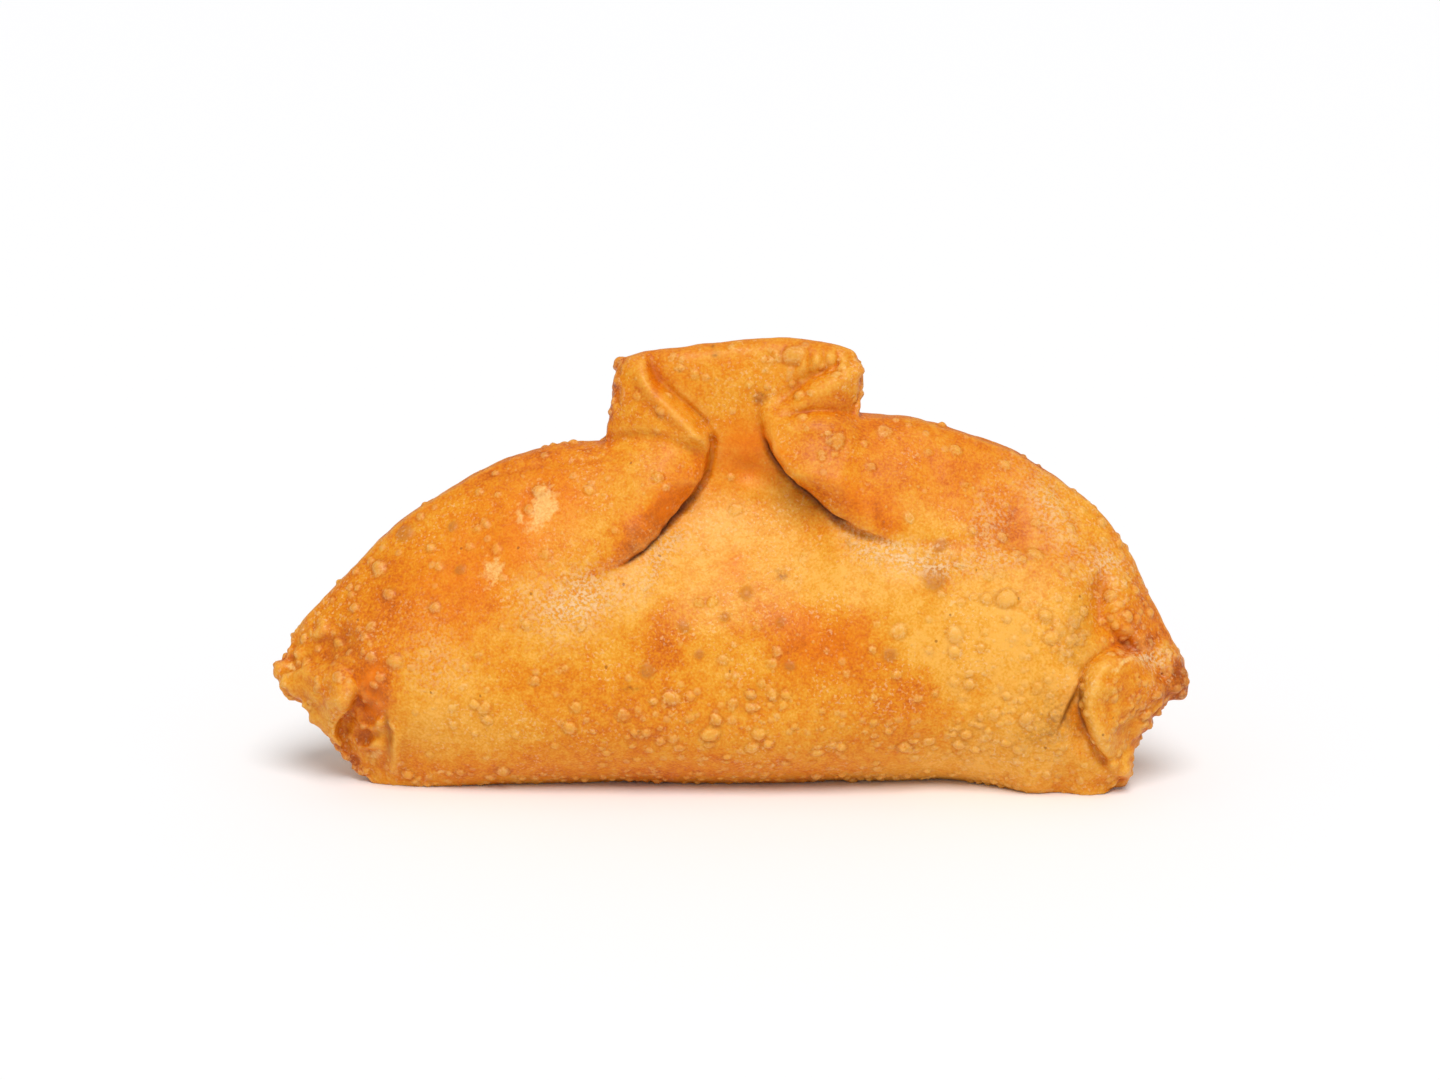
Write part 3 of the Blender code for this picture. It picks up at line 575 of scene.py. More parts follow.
blisters = dict(
    seed=23,
    # x, z and radius of those that stand out on the front
    brown=[(26, 29.7, 1.9), (26.7, 33.3, 1.1), (-43.3, 33.1, 1.5), (-36.9, 34.5, 0.8), (-35.8, 29.6, 0.8),
           (1.5, 27, 1.1), (-1.2, 24.5, 0.8), (6, 24, 0.8), (-6.6, 23.3, 0.9), (-4.6, 20.1, 0.7),
           (7.2, 18.7, 0.8), (19.9, 20.2, 1.1), (-11.4, 18.2, 1.1), (3.2, 50.6, 0.8)],
    pale=[(35.2, 26.9, 1.4), (32.5, 27, 0.9), (40.3, 24.9, 1), (42, 23.3, 1), (43.9, 23.8, 0.9),
          (45.3, 24.9, 0.8), (21.2, 23.1, 1.1), (28.4, 22.6, 1.1), (23.6, 14.5, 0.7), (-8.3, 14.6, 1.1),
          (-5.6, 14.8, 0.8), (-3.2, 9.6, 1.3), (-14.4, 12.4, 1.1), (-11.4, 9.9, 0.7), (-8, 9, 0.8),
          (4.3, 8.3, 0.8), (7, 6.4, 0.7), (13.8, 7.6, 0.8), (22.4, 7.1, 1.1), (25.3, 8, 0.8),
          (30.1, 9, 0.8), (32.8, 8.7, 0.7), (2.2, 15.1, 0.7), (4.9, 15.1, 0.7), (-0.2, 13.8, 0.7),
          (-0.5, 11.7, 0.7), (-33.5, 34.5, 0.7), (-39.6, 31.8, 0.7), (-32.5, 35.1, 0.7), (-34.5, 32.4, 0.6),
          (-46.7, 28.7, 1.2), (-45, 26, 0.9), (-38.9, 25.3, 0.8), (-30.8, 32.1, 0.8), (-24.6, 31.9, 0.7),
          (-18.9, 39.6, 0.7), (-49.8, 24, 0.9), (-47.4, 22.2, 0.8), (-47.2, 18.7, 0.9), (-44.2, 18.4, 1.1),
          (-51.9, 19.6, 0.9), (48.8, 26.4, 1), (54.3, 23.4, 0.9), (29.1, 44.1, 0.8), (35.5, 41.9, 0.8),
          (7.7, 56.2, 1.6), (-5.3, 53.9, 0.7), (19.6, 46.4, 1.1), (17.8, 42.9, 0.7), (13.2, 45.9, 1.2)],
    # clusters of small ones: x, z and radius
    clusters=[(12, 45.7, 1.8), (4.6, 56.3, 1.2), (-7.4, 55.6, 1.2), (22.6, 7.3, 1.6), (-11.5, 12.6, 3.4),
              (1.4, 14.2, 3.8), (30.5, 8.6, 3.6), (42.5, 22.5, 3.4), (49.6, 13.4, 3), (56.2, 17.4, 1.4)],
    # how many more there are, their smallest, usual and largest radius, and the places tried for each
    more=dict(count=1300, smallest=0.38, usual=0.52, largest=0.9, triesEach=8),
    moreBrown=dict(count=9, radius=(0.9, 1.7)),      # of these, on the back
    clusterRadius=(0.36, 0.52),
    listedShare=0.88,      # the listed radii include the shadow round each blister
    room=0.8,              # share of the radius that stays free between two of them
    height=0.58,           # share of the radius, and how much it varies
    heightRange=(0.7, 1.3),
    brownHeight=0.5,       # browned ones have sunk
    dish=(-0.5, 0.45),     # above 0, how deep the top has fallen in
    stretch=0.4,           # how oval they can be
    shown=(0.2, 0.9))      # how clearly the thin top and the pale ring show


def blisterCrowd(x, z, onFront):
    # where the small blisters crowd: low on the belly and towards one ear, few on the shoulders
    right = 1.7 * mound(x, z, (39, 19), (9, 13)) + 1.2 * mound(x, z, (-2, 9), (24, 7))
    right += 0.9 * mound(x, z, (26, 8), (20, 7)) + 0.7 * mound(x, z, (10, 55), (9, 3))
    foot = 3.0 * ease(4, 1.5, z) * (np.abs(x) < 46)
    ears = 0.9 * ease(46, 50, np.abs(x))
    left = 1.0 * mound(x, z, (-35, 18), (14, 12)) + 1.0 * mound(x, z, (12, 10), (26, 8))
    return 0.2 + foot + ears + np.where(onFront, right, left)


def placeBlisters(points, onFront, rim, folds):
    rng = np.random.default_rng(blisters["seed"])
    x, z = points[:, 0], points[:, 2]
    spots = []  # point, radius, brownness

    def onSurface(atX, atZ):  # the nearest point of the front; the back is put out of reach
        return int(np.argmin(np.hypot(x - atX, z - atZ) + 100 * ~onFront))

    for kind, brownness in (("brown", 1.0), ("pale", 0.0)):
        spots += [(onSurface(atX, atZ), blisters["listedShare"] * radius, brownness)
                  for atX, atZ, radius in blisters[kind]]
    for atX, atZ, reach in blisters["clusters"]:
        for turn in rng.uniform(0, 2 * math.pi, int(3 + 3 * reach)):
            away = reach * math.sqrt(rng.uniform(0.05, 1))
            spots.append((onSurface(atX + away * math.cos(turn), atZ + away * math.sin(turn)),
                          rng.uniform(*blisters["clusterRadius"]), 0.0))
    more = blisters["more"]
    firstBrown = 2 * blisters["moreBrown"]["count"]  # half of them fall on the front and are dropped
    crowd = blisterCrowd(x, z, onFront) + 2.5 * raggedness(x, z) ** 2 * ease(2.0, 0.8, rim)
    crowd = crowd * ease(0.5, 2.0, folds)
    tries = rng.choice(len(points), size=more["triesEach"] * more["count"], p=crowd / crowd.sum())
    radii = np.clip(more["smallest"] + rng.exponential(more["usual"] - more["smallest"], len(tries)),
                    more["smallest"], more["largest"])
    radii[:firstBrown] = rng.uniform(*blisters["moreBrown"]["radius"], firstBrown)
    wanted = len(spots) + more["count"]
    for nth, (index, radius) in enumerate(zip(tries, radii)):
        brown = nth < firstBrown
        if len(spots) == wanted or brown and onFront[index]:
            continue
        room = np.linalg.norm(points[[spot[0] for spot in spots]] - points[index], axis=1)
        if (room - [spot[1] for spot in spots]).min() > blisters["room"] * radius:
            spots.append((int(index), radius, 1.0 if brown else 0.0))
    return spots


def searchTree(points):
    tree = kdtree.KDTree(len(points))
    for index, point in enumerate(points):
        tree.insert(point, index)
    tree.balance()
    return tree


def raiseBlisters(points, normals, spots):
    # thin-skinned domes of uneven outline; each leaves marks that colour its top and its rim
    tree = searchTree(points)
    rng = np.random.default_rng(blisters["seed"] + 1)
    raised = points.copy()
    marks = {name: np.zeros(len(points)) for name in ("dome", "ring", "brown")}
    for index, radius, brownness in spots:
        height = blisters["height"] * radius * rng.uniform(*blisters["heightRange"])
        height = height * (blisters["brownHeight"] if brownness else 1)
        dish = max(0.0, rng.uniform(*blisters["dish"]))
        found = tree.find_range(points[index], 1.8 * radius)
        near = np.array([hit[1] for hit in found])
        offset = points[near] - points[index]
        lengthwise = np.cross(normals[index], rng.normal(size=3))
        lengthwise = lengthwise / np.linalg.norm(lengthwise)
        stretch = rng.uniform(0, blisters["stretch"]) * (offset @ lengthwise) ** 2
        d = np.sqrt(np.maximum(np.sum(offset ** 2, axis=1) - stretch, 0)) / radius
        d = d * (1 + 0.2 * lumpy(points[near], 0.9 * radius, index % 997))
        dome = np.clip(1 - d * d, 0, 1) ** 1.15 * (1 - dish * bell(d, 0.45))
        raised[near] += np.outer(height * (dome - 0.06 * bell(d - 1.15, 0.2)), normals[index])
        shown = rng.uniform(*blisters["shown"]) * (1 - brownness) + brownness
        traces = dict(dome=shown * dome * (1 - brownness),
                      ring=shown * (1 - 0.85 * brownness) * bell(d - 0.7, 0.2),
                      brown=brownness * shown * (1 - ease(0.65, 1.1, d)))
        for name, values in traces.items():
            marks[name][near] = np.maximum(marks[name][near], values)
    return raised, marks


def hollowness(mesh, points, rounds):
    # how deep each point lies below the average of its surroundings; crests are negative
    ends = np.empty(2 * len(mesh.edges), np.int32)
    mesh.edges.foreach_get("vertices", ends)
    a, b = ends[0::2], ends[1::2]
    count = np.bincount(ends, minlength=len(points))[:, None]
    average = points.copy()
    for nth in range(rounds):
        total = np.stack([np.bincount(a, average[b, axis], len(points))
                          + np.bincount(b, average[a, axis], len(points)) for axis in range(3)], axis=1)
        average = 0.5 * average + 0.5 * total / count
    return average - points


points = ofPoints(skin, "co") / mm
normals = ofPoints(skin, "normal")
onFront = points[:, 1] < middleOfDough(points[:, 0], points[:, 2])
rim = fromRim(points[:, 0], points[:, 2])
folds, onShoulder = fromCreases(points[:, 0], points[:, 2], onFront)
low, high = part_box("pastry")
foot = np.maximum(points[:, 2], pocket["flatCut"]).min()
middle = (points[:, 1].min() + points[:, 1].max()) / 2
shift = np.array([low.x / mm - points[:, 0].min(), (low.y + high.y) / 2 / mm - middle, low.z / mm - foot])
bare = points.copy()
ears = ease(43, 48, np.abs(bare[:, 0])) * ease(27, 20, bare[:, 2])
for rows, share in (("lumps", np.ones(len(points))), ("folds", bell(folds, 1.2)), ("ears", ears),
                    ("ragged", raggedness(bare[:, 0], bare[:, 2]) * ease(2.4, 0.4, rim))):
    for size, height, seed in relief[rows]:
        points += normals * (share * height * lumpy(bare, size, seed))[:, None]
points, marks = raiseBlisters(points, normals, placeBlisters(bare, onFront, rim, folds))
# painted shade and painted highlight: how hollow each point is, near and wide, darkens the colour in hollows
# and lightens it on crests
for name, rounds in (("hollowShadeAndCrestLight", 10), ("wideHollowShadeAndCrestLight", 60)):
    marks[name] = np.sum(hollowness(skin, points, rounds) * normals, axis=1)
print("blisters raised")

# where the dough browned, stayed pale or kept its flour, and where shade is painted in: x, z, width, height,
# turn, strength
browning = dict(
    base=0.24,
    uneven=[(9, 0.13, 31), (3.2, 0.1, 32)],        # size, strength and random seed of its unevenness
    wobble=dict(size=4, reach=1.3, seed=33),       # how uneven the outlines of the patches are
    lipShadeAndBrowning=0.28, leftLipShadeAndBrowning=0.14,                          # lips above the creases: browner, and painted shade darkening them towards the crease
    edge=0.13, raggedEdge=0.16, backTop=0.2,         # browner rim, and the upper half of the back
    toasted=[(-31, 35, 21, 8, 38, 0.42), (27, 42, 20, 6, -20, 0.3), (10.9, 22.1, 7.5, 4.9, -15, 0.55),
             (-10.6, 36.2, 5.4, 1.8, 42, 0.42), (51, 22, 4, 8, 0, 0.16), (16.5, 38.8, 5, 2, -30, 0.15),
             (45, 31, 4, 5, 20, 0.15), (4, 57, 12, 2, 0, 0.12),
             (21.9, 14.4, 5.3, 3.7, 0, 0.26), (-8.3, 23.7, 4, 2.6, 0, 0.3), (-0.5, 29, 2.4, 1.6, 0, 0.2),
             (-9, 20, 3.4, 2.4, 0, 0.32), (-15.1, 10.7, 5.5, 3.4, 0, 0.24),
             (-47.1, 14.6, 2.4, 3.4, 0, 0.6), (51.5, 22.3, 3.2, 2.8, 0, 0.3),
             (1.8, 43, 4.6, 4.2, 0, 0.2), (17.5, 37.8, 8, 2.2, -25, 0.26),
             (-12, 36, 9, 3.6, 42, 0.22), (36.2, 34.9, 3.7, 3.2, 0, 0.2), (13, 50, 4, 4, 40, 0.2),
             (-48.6, 8, 2.4, 4, 0, 0.28), (-14, 3, 42, 5, 0, 0.3), (0, 12, 36, 6, 0, 0.24),
             (-10.6, 53.6, 0.9, 2, 20, 0.5), (0, 54, 22, 6, 0, 0.05), (-52, 14, 8, 10, 0, 0.16),
             (52, 14, 6, 10, 0, 0.12), (-48, 22, 8, 6, 0, 0.12),
             (53, 20.4, 3.4, 1.4, 0, 0.4), (57, 15, 2.6, 2.6, 0, 0.6), (47.2, 25, 1.2, 5, 0, 0.2)],
    # where the dough is thin and oily, a clear red-orange shows
    amber=[(1.2, 43.2, 4.4, 4.4, 0, 0.7), (-47.2, 15.2, 1.6, 2.8, -8, 1.2), (-47.6, 12.2, 1.4, 1.6, 0, 0.8),
           (-48.6, 8, 1.6, 3.2, 0, 0.1), (10.9, 22, 6, 3.6, -15, 0.45), (-9, 37.6, 5, 3, 42, 0.7),
           (-30, 34, 15, 6, 38, 0.34), (27, 42, 15, 5, -20, 0.26), (0, 55, 14, 3, 0, 0.2),
           (-8.6, 48.4, 3.4, 2.4, -42, 0.45), (43.6, 12, 1.4, 4.4, 12, 0.5),
           (16, 39.5, 6, 2.2, -25, 0.45), (-10.6, 53.6, 0.9, 2, 20, 0.6), (-24, 36.5, 6, 4, 20, 0.3),
           (51.5, 21.6, 2.6, 2.2, 0, 0.4), (-36, 27, 7, 5, 30, 0.25), (-0.5, 29, 2.2, 1.5, 0, 0.3),
           (5.4, 44.2, 1.4, 2.6, 20, 0.5)],
    pale=[(13, 29.5, 7, 4, 0, 0.14), (-19.5, 22, 8, 5.3, 0, 0.04), (23.6, 34, 4, 2.6, 0, 0.15),
          (-39, 11, 8, 5, 0, 0.12), (33, 20.6, 10, 7, 0, 0.24), (28, 4.5, 9, 3, 0, 0.2),
          (-37, 31, 5, 4, 30, 0.16), (-0.5, 33, 7, 3.6, 0, 0.2)],
    floury=[(-20.8, 26.2, 6, 3.2, 12, 0.8), (-9.8, 31.6, 4.6, 1.6, 42, 0.6),
            (24.3, 31.8, 5.5, 1.8, -8, 0.75), (17.2, 33.6, 4.5, 1.2, -28, 0.5),
            (32.8, 35.8, 1.8, 3.4, -20, 0.4), (34.5, 31.5, 3.4, 1.4, 0, 0.4),
            (43, 34.5, 2.4, 5, 28, 0.3), (40, 39, 4, 1.8, -35, 0.45), (-38.9, 18.9, 4.5, 4.5, 20, 0.25),
            (53.8, 18.4, 2.4, 1, -30, 0.8), (49, 29.8, 2.6, 2.2, 0, 0.6)],
    dusky=[(42, 12.1, 2.6, 3.6, 30, 0.5), (39.6, 9, 2.6, 2, 30, 0.35), (-51.9, 19.6, 2.4, 1.6, 20, 0.3),
           (44.4, 22, 1.6, 5, 0, 0.3), (-48, 12.6, 0.9, 0.8, 0, 0.5), (-48.9, 7.6, 1.5, 2.6, 0, 0.15),
           (3.3, 50.6, 0.9, 0.5, 0, 0.7), (6.7, 29.2, 0.6, 0.3, 40, 0.9), (-13.5, 14.9, 0.7, 0.3, 20, 0.8),
           (57.4, 14.6, 1.6, 2.2, 0, 0.35)],
    flakes=[(-25.2, 38, 1.7, 2.4, 20, 0.9), (-25.8, 35.6, 2.2, 1.4, 0, 0.8),
            (-23.4, 36.4, 1.3, 1.3, 0, 0.7), (-31.4, 30.3, 1.4, 1.6, 0, 1), (-29, 36.4, 0.8, 0.9, 0, 0.7),
            (-46.4, 5, 1.2, 0.6, 45, 1), (-38.9, 2.9, 1.4, 0.5, 0, 1), (50.4, 18.6, 1.9, 0.4, -5, 1),
            (-58.8, 15.2, 1.2, 0.4, -20, 0.8)],
    # painted shade: dark lines in a tear in the frill's edge and in the ears' tight folds; width, strength
    strokes=[([(-2.9, 57.6), (-2.6, 56.4), (-2.7, 55.2)], 0.2, 0.6),
             ([(-45.7, 12.6), (-45.4, 10.5), (-45.2, 8.1), (-45.3, 6.2), (-45.2, 4.3)], 0.3, 0.3),
             ([(45.1, 15.8), (44.8, 14.2), (44.8, 12.6), (45.3, 11), (46.4, 8.6)], 0.24, 0.6),
             ([(44.2, 15.4), (43.5, 13.9), (42.8, 12.4), (42.1, 10.4)], 0.3, 0.6)],
    backSeed=8)


def backPatches(count, strength, seed):  # the unseen face gets its own patches of like size
    rng = np.random.default_rng(browning["backSeed"] + seed)
    return [(rng.uniform(-50, 50), rng.uniform(4, 42), rng.uniform(3, 9), rng.uniform(2, 5),
             rng.uniform(-40, 40), strength * rng.uniform(0.6, 1.2)) for row in range(count)]


def doughLayers(points, onFront, rim, folds, onShoulder):
    x, z = points[:, 0], points[:, 2]
    wobble = browning["wobble"]
    wobbleX = x + wobble["reach"] * lumpy(points, wobble["size"], wobble["seed"])
    wobbleZ = z + wobble["reach"] * lumpy(points, wobble["size"], wobble["seed"] + 1)
    behind = dict(toasted=backPatches(16, 0.3, 1), pale=backPatches(9, 0.18, 2),
                  floury=backPatches(7, 0.7, 3), dusky=backPatches(4, 0.4, 4), amber=backPatches(8, 0.5, 6),
                  flakes=[])
    layer = {name: np.where(onFront, patches(browning[name], wobbleX, wobbleZ),
                            patches(rows, wobbleX, wobbleZ)) for name, rows in behind.items()}
    toast = browning["base"]
    for size, strength, seed in browning["uneven"]:
        toast = toast + strength * lumpy(points, size, seed)
    # painted shade and real browning: each lip darkens towards its crease, where it rolls down away from the
    # light
    lipShadeAndBrowning = browning["lipShadeAndBrowning"] + browning["leftLipShadeAndBrowning"] * (x < 0)
    toast += lipShadeAndBrowning * onShoulder * ease(5.0, 0.2, folds) * ease(46, 40, z)
    toast += (browning["edge"] + browning["raggedEdge"] * raggedness(x, z)) * ease(1.6, 0.2, rim)
    toast += layer["toasted"] - layer["pale"] + np.where(onFront, 0, browning["backTop"] * ease(24, 36, z))
    # painted shade: the dark line just below each lip, where the crease lies in shadow
    below = np.where(onShoulder, folds, -folds) + 0.2
    crease = bell(below + 0.12 * lumpy(points, 1.3, 37), 0.3) * np.where(
        (x > 0) == onFront, ease(46.5, 44.5, z), 0.3 * ease(46, 43, z) + 0.7 * ease(40, 36, z))
    # painted shade along the tear and the ears' tight folds
    strokes = np.zeros(x.shape)
    for line, width, strength in browning["strokes"]:
        strokes = np.maximum(strokes, strength * alongLine(line, x, z, width, (0.2, 0.3)))
    return dict(toast=np.clip(toast, 0, 1), flour=np.clip(layer["floury"], 0, 1),
                dusk=np.clip(layer["dusky"], 0, 1), amber=np.clip(layer["amber"], 0, 1),
                crease=np.maximum(crease, np.where(onFront, strokes, 0)), chip=layer["flakes"])


marks.update(doughLayers(bare, onFront, rim, folds, onShoulder))
marks["crowd"] = np.clip(0.35 * blisterCrowd(bare[:, 0], bare[:, 2], onFront), 0, 1)
print("browning laid out")

# settle on the frame's box, thin to a reasonable number of triangles, carry the layers over
points[:, 2] = np.maximum(points[:, 2], foot)
skin.vertices.foreach_set("co", ((points + shift) * mm).astype(np.float32).ravel())
skin.update()
skin.calc_loop_triangles()
thinned = throughModifiers(skin, [("DECIMATE", dict(ratio=pocket["triangles"] / len(skin.loop_triangles)))])
tree = searchTree(ofPoints(skin, "co"))
nearest = [tree.find(point)[1] for point in ofPoints(thinned, "co")]
for name, values in marks.items():
    layer = thinned.attributes.new(name, "FLOAT", "POINT")
    layer.data.foreach_set("value", values[nearest].astype(np.float32))
skin = thinned
skin.shade_smooth()
piece = put("friedPocket", skin)
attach(piece, "root")
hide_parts("pastry")
print("pocket settled:", sum(len(face.vertices) - 2 for face in skin.polygons), "triangles")

# colour and finish; sizes in millimetres
dough = dict(
    toast=[(0.0, "#efae48"), (0.22, "#e59c28"), (0.46, "#de840a"), (0.68, "#d06a04"), (1.0, "#9c4203")],
    flour="#e9c394", dusk="#8a4c12", domeTop="#c98632", ring="#f4c888", brown="#b9630f", amber="#ee7c00",
    # painted shade: the dark of creases and small hollows; painted highlight: the pale of crests
    crease="#43190c", hollowShadeAndCrestLight="#a04a05", crestHighlight="#f5bd60", chip="#f4c676", bubble="#f0bb6c", speck="#7c3c10",
    frost="#f7d7a6", grain=0.34, mottle=1.5, flourGrain=0.42,
    bubbles=[(2.3, 0.6), (1.05, 0.27)])      # spacing and radius of those too small to model


def linear(hexColour):
    parts = [int(hexColour[i:i + 2], 16) / 255 for i in (1, 3, 5)]
    return tuple(c / 12.92 if c <= 0.04045 else ((c + 0.055) / 1.055) ** 2.4 for c in parts) + (1.0,)


def addNode(tree, kind, settings=None, inputs=None):
    node = tree.nodes.new(kind)
    for key, value in (settings or {}).items():
        setattr(node, key, value)
    for key, value in (inputs or {}).items():
        if isinstance(value, bpy.types.NodeSocket):
            tree.links.new(value, node.inputs[key])
        elif isinstance(value, str):
            node.inputs[key].default_value = linear(value)
        else:
            node.inputs[key].default_value = value
    return node


def newMaterial(name):
    material = bpy.data.materials.new(name)
    material.use_nodes = True
    return material, material.node_tree.nodes["Principled BSDF"]


def friedDough():
    # wheat dough fried in oil: satin with an oily sheen, light gets a little way into it
    material, shader = newMaterial("friedWheatDough")
    tree = material.node_tree
    place = addNode(tree, "ShaderNodeTexCoord").outputs["Object"]

    def layer(name):
        return addNode(tree, "ShaderNodeAttribute", dict(attribute_name=name)).outputs["Fac"]

    def noise(size, detail=3.0):
        return addNode(tree, "ShaderNodeTexNoise", None,
                       dict(Vector=place, Scale=1 / (size * mm), Detail=detail)).outputs["Fac"]

    def calc(how, a, b, c=0.0):
        return addNode(tree, "ShaderNodeMath", dict(operation=how), {0: a, 1: b, 2: c}).outputs[0]

    def span(value, start, stop, begin=0.0, end=1.0):
        limits = {"Value": value, "From Min": start, "From Max": stop, "To Min": begin, "To Max": end}
        return addNode(tree, "ShaderNodeMapRange", None, limits).outputs[0]

    def blend(share, under, over):
        colours = {0: share, 6: under, 7: over}
        return addNode(tree, "ShaderNodeMix", dict(data_type="RGBA"), colours).outputs[2]

    # brownness: the layer with a mottle and a fine grain, plus painted shade deeper in hollows and a painted
    # highlight paler on crests
    grain = noise(dough["grain"], 2.0)
    brownness = calc("ADD", layer("toast"), span(noise(dough["mottle"], 5.0), 0.3, 0.7, -0.15, 0.15))
    brownness = calc("ADD", brownness, span(grain, 0.35, 0.7, 0.1, -0.2))
    brownness = calc("ADD", brownness, span(layer("wideHollowShadeAndCrestLight"), -0.5, 0.5, -0.16, 0.16))
    ramp = addNode(tree, "ShaderNodeValToRGB", None, dict(Fac=brownness))
    stops = ramp.color_ramp.elements
    while len(stops) < len(dough["toast"]):
        stops.new(0.5)
    for stop, (position, colour) in zip(stops, dough["toast"]):
        stop.position = position
        stop.color = linear(colour)
    colour = blend(calc("MULTIPLY", layer("amber"), span(noise(2.2, 4.0), 0.3, 0.65, 0.5, 1.0)),
                   ramp.outputs["Color"], dough["amber"])
    # painted shade darkens small hollows, a painted highlight lightens crests
    colour = blend(span(layer("hollowShadeAndCrestLight"), 0.005, 0.09, 0.0, 0.28), colour, dough["hollowShadeAndCrestLight"])
    colour = blend(span(layer("hollowShadeAndCrestLight"), -0.01, -0.09, 0.0, 0.22), colour, dough["crestHighlight"])

    # bubbles too small to model, in two sizes; each is a dome whose ring is paler than its middle
    relief = 0.0
    for nth, (spacing, radius) in enumerate(dough["bubbles"]):
        cells = addNode(tree, "ShaderNodeTexVoronoi", None, dict(Vector=place, Scale=1 / (spacing * mm)))
        edge = radius / spacing
        chance = addNode(tree, "ShaderNodeSeparateColor", None, dict(Color=cells.outputs["Color"])).outputs[0]
        kept = calc("GREATER_THAN", calc("ADD", layer("crowd"), 0.12), chance)
        dome = calc("MULTIPLY", kept, span(cells.outputs["Distance"], edge, 0.35 * edge))
        ring = calc("MULTIPLY", dome, span(cells.outputs["Distance"], 0.1 * edge, 0.6 * edge, 0.25, 1.0))
        colour = blend(calc("MULTIPLY", ring, 0.5), colour, dough["bubble"])
        relief = calc("MULTIPLY_ADD", dome, (0.7, 0.4)[nth], relief)

    # the blisters' thin tops and pale rings, and those that browned through
    colour = blend(calc("MULTIPLY", layer("dome"), 0.45), colour, dough["domeTop"])
    browned = calc("MULTIPLY", layer("brown"), span(grain, 0.35, 0.65, 0.5, 0.85))
    colour = blend(browned, colour, dough["brown"])
    colour = blend(calc("MULTIPLY", layer("ring"), span(grain, 0.4, 0.6, 0.1, 0.5)), colour, dough["ring"])
    # fine pale flecks all over, thicker in places; flour that stayed dry, in clumps
    flecks = calc("MULTIPLY", span(noise(dough["flourGrain"], 4.0), 0.56, 0.66),
                  span(noise(6.0, 4.0), 0.45, 0.62, 0.04, 0.32))
    flecks = calc("MULTIPLY", flecks, span(layer("amber"), 0.2, 0.7, 1.0, 0.2))
    colour = blend(flecks, colour, dough["frost"])
    clumps = span(noise(dough["flourGrain"], 3.0), 0.42, 0.58)
    floury = calc("MULTIPLY", layer("flour"), clumps)
    colour = blend(floury, colour, dough["flour"])
    dusky = calc("MULTIPLY", layer("dusk"), span(noise(0.6, 3.0), 0.35, 0.6, 0.2, 1.0))
    colour = blend(dusky, colour, dough["dusk"])
    chips = calc("MULTIPLY_ADD", span(noise(0.9, 3.0), 0.3, 0.7, -1.0, 1.0), 0.35, layer("chip"))
    chips = span(chips, 0.4, 0.85)
    colour = blend(calc("MULTIPLY", chips, span(grain, 0.35, 0.65, 0.45, 0.8)), colour, dough["chip"])
    # sparse dark specks, and painted shade: the dark line inside each crease
    crumbs = addNode(tree, "ShaderNodeTexVoronoi", None, dict(Vector=place, Scale=1 / (5.0 * mm)))
    nibbled = calc("MULTIPLY_ADD", grain, 0.06, crumbs.outputs["Distance"])
    colour = blend(span(nibbled, 0.078, 0.062, 0.0, 0.55), colour, dough["speck"])
    creaseShade = calc("MULTIPLY", layer("crease"), span(grain, 0.3, 0.6, 0.75, 1.0))
    colour = blend(creaseShade, colour, dough["crease"])
    tree.links.new(colour, shader.inputs["Base Color"])

    # relief too fine to model: grain, small bubbles and flour clumps
    relief = calc("MULTIPLY_ADD", grain, 0.35, relief)
    relief = calc("MULTIPLY_ADD", floury, 0.5, relief)
    bump = addNode(tree, "ShaderNodeBump", None, dict(Strength=0.8, Distance=0.00022, Height=relief))
    tree.links.new(bump.outputs["Normal"], shader.inputs["Normal"])
    rough = span(noise(0.9, 3.0), 0.3, 0.7, 0.36, 0.55)
    tree.links.new(calc("MULTIPLY_ADD", layer("flour"), 0.3, rough), shader.inputs["Roughness"])
    finish = {"Specular IOR Level": 0.2, "Coat Weight": 0.05, "Coat Roughness": 0.28,
              "Subsurface Weight": 0.08, "Subsurface Radius": (1.0, 0.4, 0.12),
              "Subsurface Scale": 0.0008}
    for name, value in finish.items():
        shader.inputs[name].default_value = value
    return material


skin.materials.clear()
skin.materials.append(friedDough())
print("dough finished")


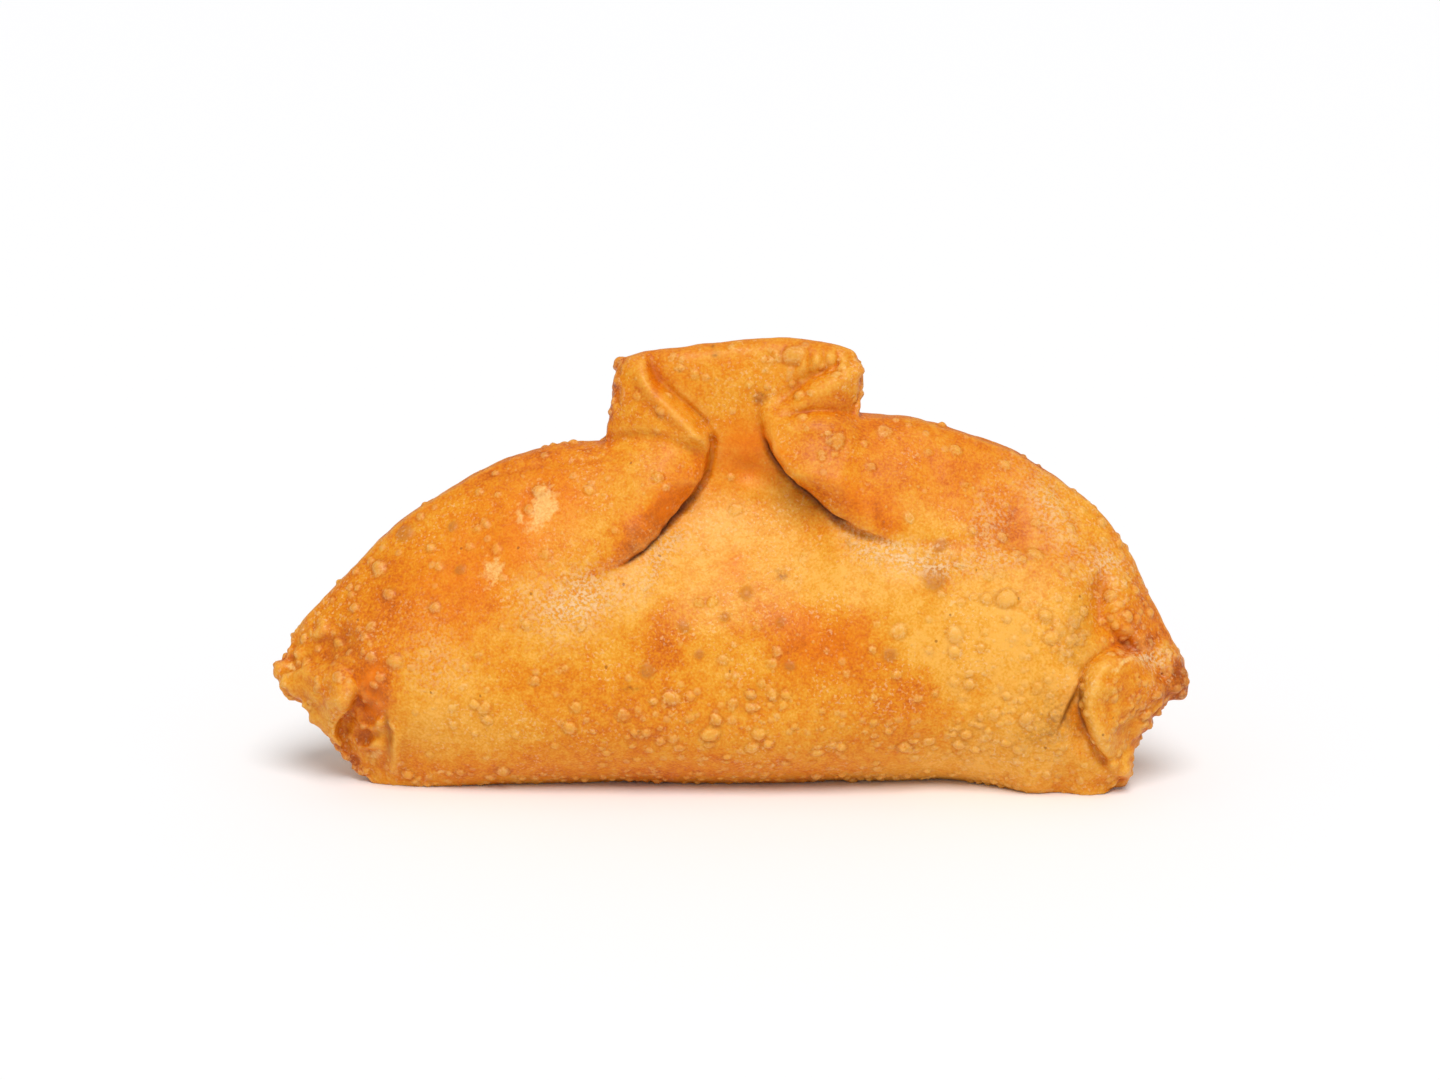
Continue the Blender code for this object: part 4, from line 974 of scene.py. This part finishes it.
# table, light and camera
studio = dict(
    floorSize=8.0, floor="#fafafb", world="#ffffff", worldStrength=0.48,
    # one broad soft light from above and in front: direction it comes from, strength, angle it spans
    softLight=dict(place=(0.08, -0.58, 1.0), strength=2.17, spread=34))


def makeFloor():
    bm = bmesh.new()
    bmesh.ops.create_grid(bm, x_segments=1, y_segments=1, size=studio["floorSize"] / 2)
    bmesh.ops.translate(bm, verts=bm.verts[:], vec=(0, 0, low.z - 0.05 * mm))
    floor = put("studioFloor", meshFrom(bm, "studioFloor"))
    # smooth white board: takes the soft shadow and a little of the pastry's colour
    material, shader = newMaterial("paintedBoard")
    shader.inputs["Base Color"].default_value = linear(studio["floor"])
    shader.inputs["Roughness"].default_value = 0.8
    floor.data.materials.append(material)


def aim(thing, place, target):
    thing.location = place
    thing.rotation_mode = "QUATERNION"
    thing.rotation_quaternion = (Vector(target) - Vector(place)).to_track_quat("-Z", "Y")


def makeLights():
    world = bpy.data.worlds.new("studio")
    bpy.context.scene.world = world
    world.use_nodes = True
    sky = world.node_tree.nodes["Background"]
    sky.inputs["Color"].default_value = linear(studio["world"])
    sky.inputs["Strength"].default_value = studio["worldStrength"]
    soft = studio["softLight"]
    light = bpy.data.lights.new("softLight", "SUN")
    light.energy = soft["strength"]
    light.angle = math.radians(soft["spread"])
    aim(put("softLight", light), soft["place"], (0, 0, 0))


view = dict(lens=100.0, sensor=36.0, distance=529.2, elevation=15.0, target=(-1.48, 0.23, 30.84))


def makeCamera():
    camera = bpy.data.cameras.new("viewCamera")
    camera.lens = view["lens"]
    camera.sensor_width = view["sensor"]
    camera.clip_start = 0.01
    holder = put("viewCamera", camera)
    bpy.context.scene.camera = holder
    target = Vector(view["target"]) * mm + Vector(((low.x + high.x) / 2, (low.y + high.y) / 2, low.z))
    tilt = math.radians(view["elevation"])
    aim(holder, target + Vector((0, -math.cos(tilt), math.sin(tilt))) * view["distance"] * mm, target)


makeFloor()
makeLights()
makeCamera()
bpy.context.scene.view_settings.view_transform = "Standard"
print("studio ready")
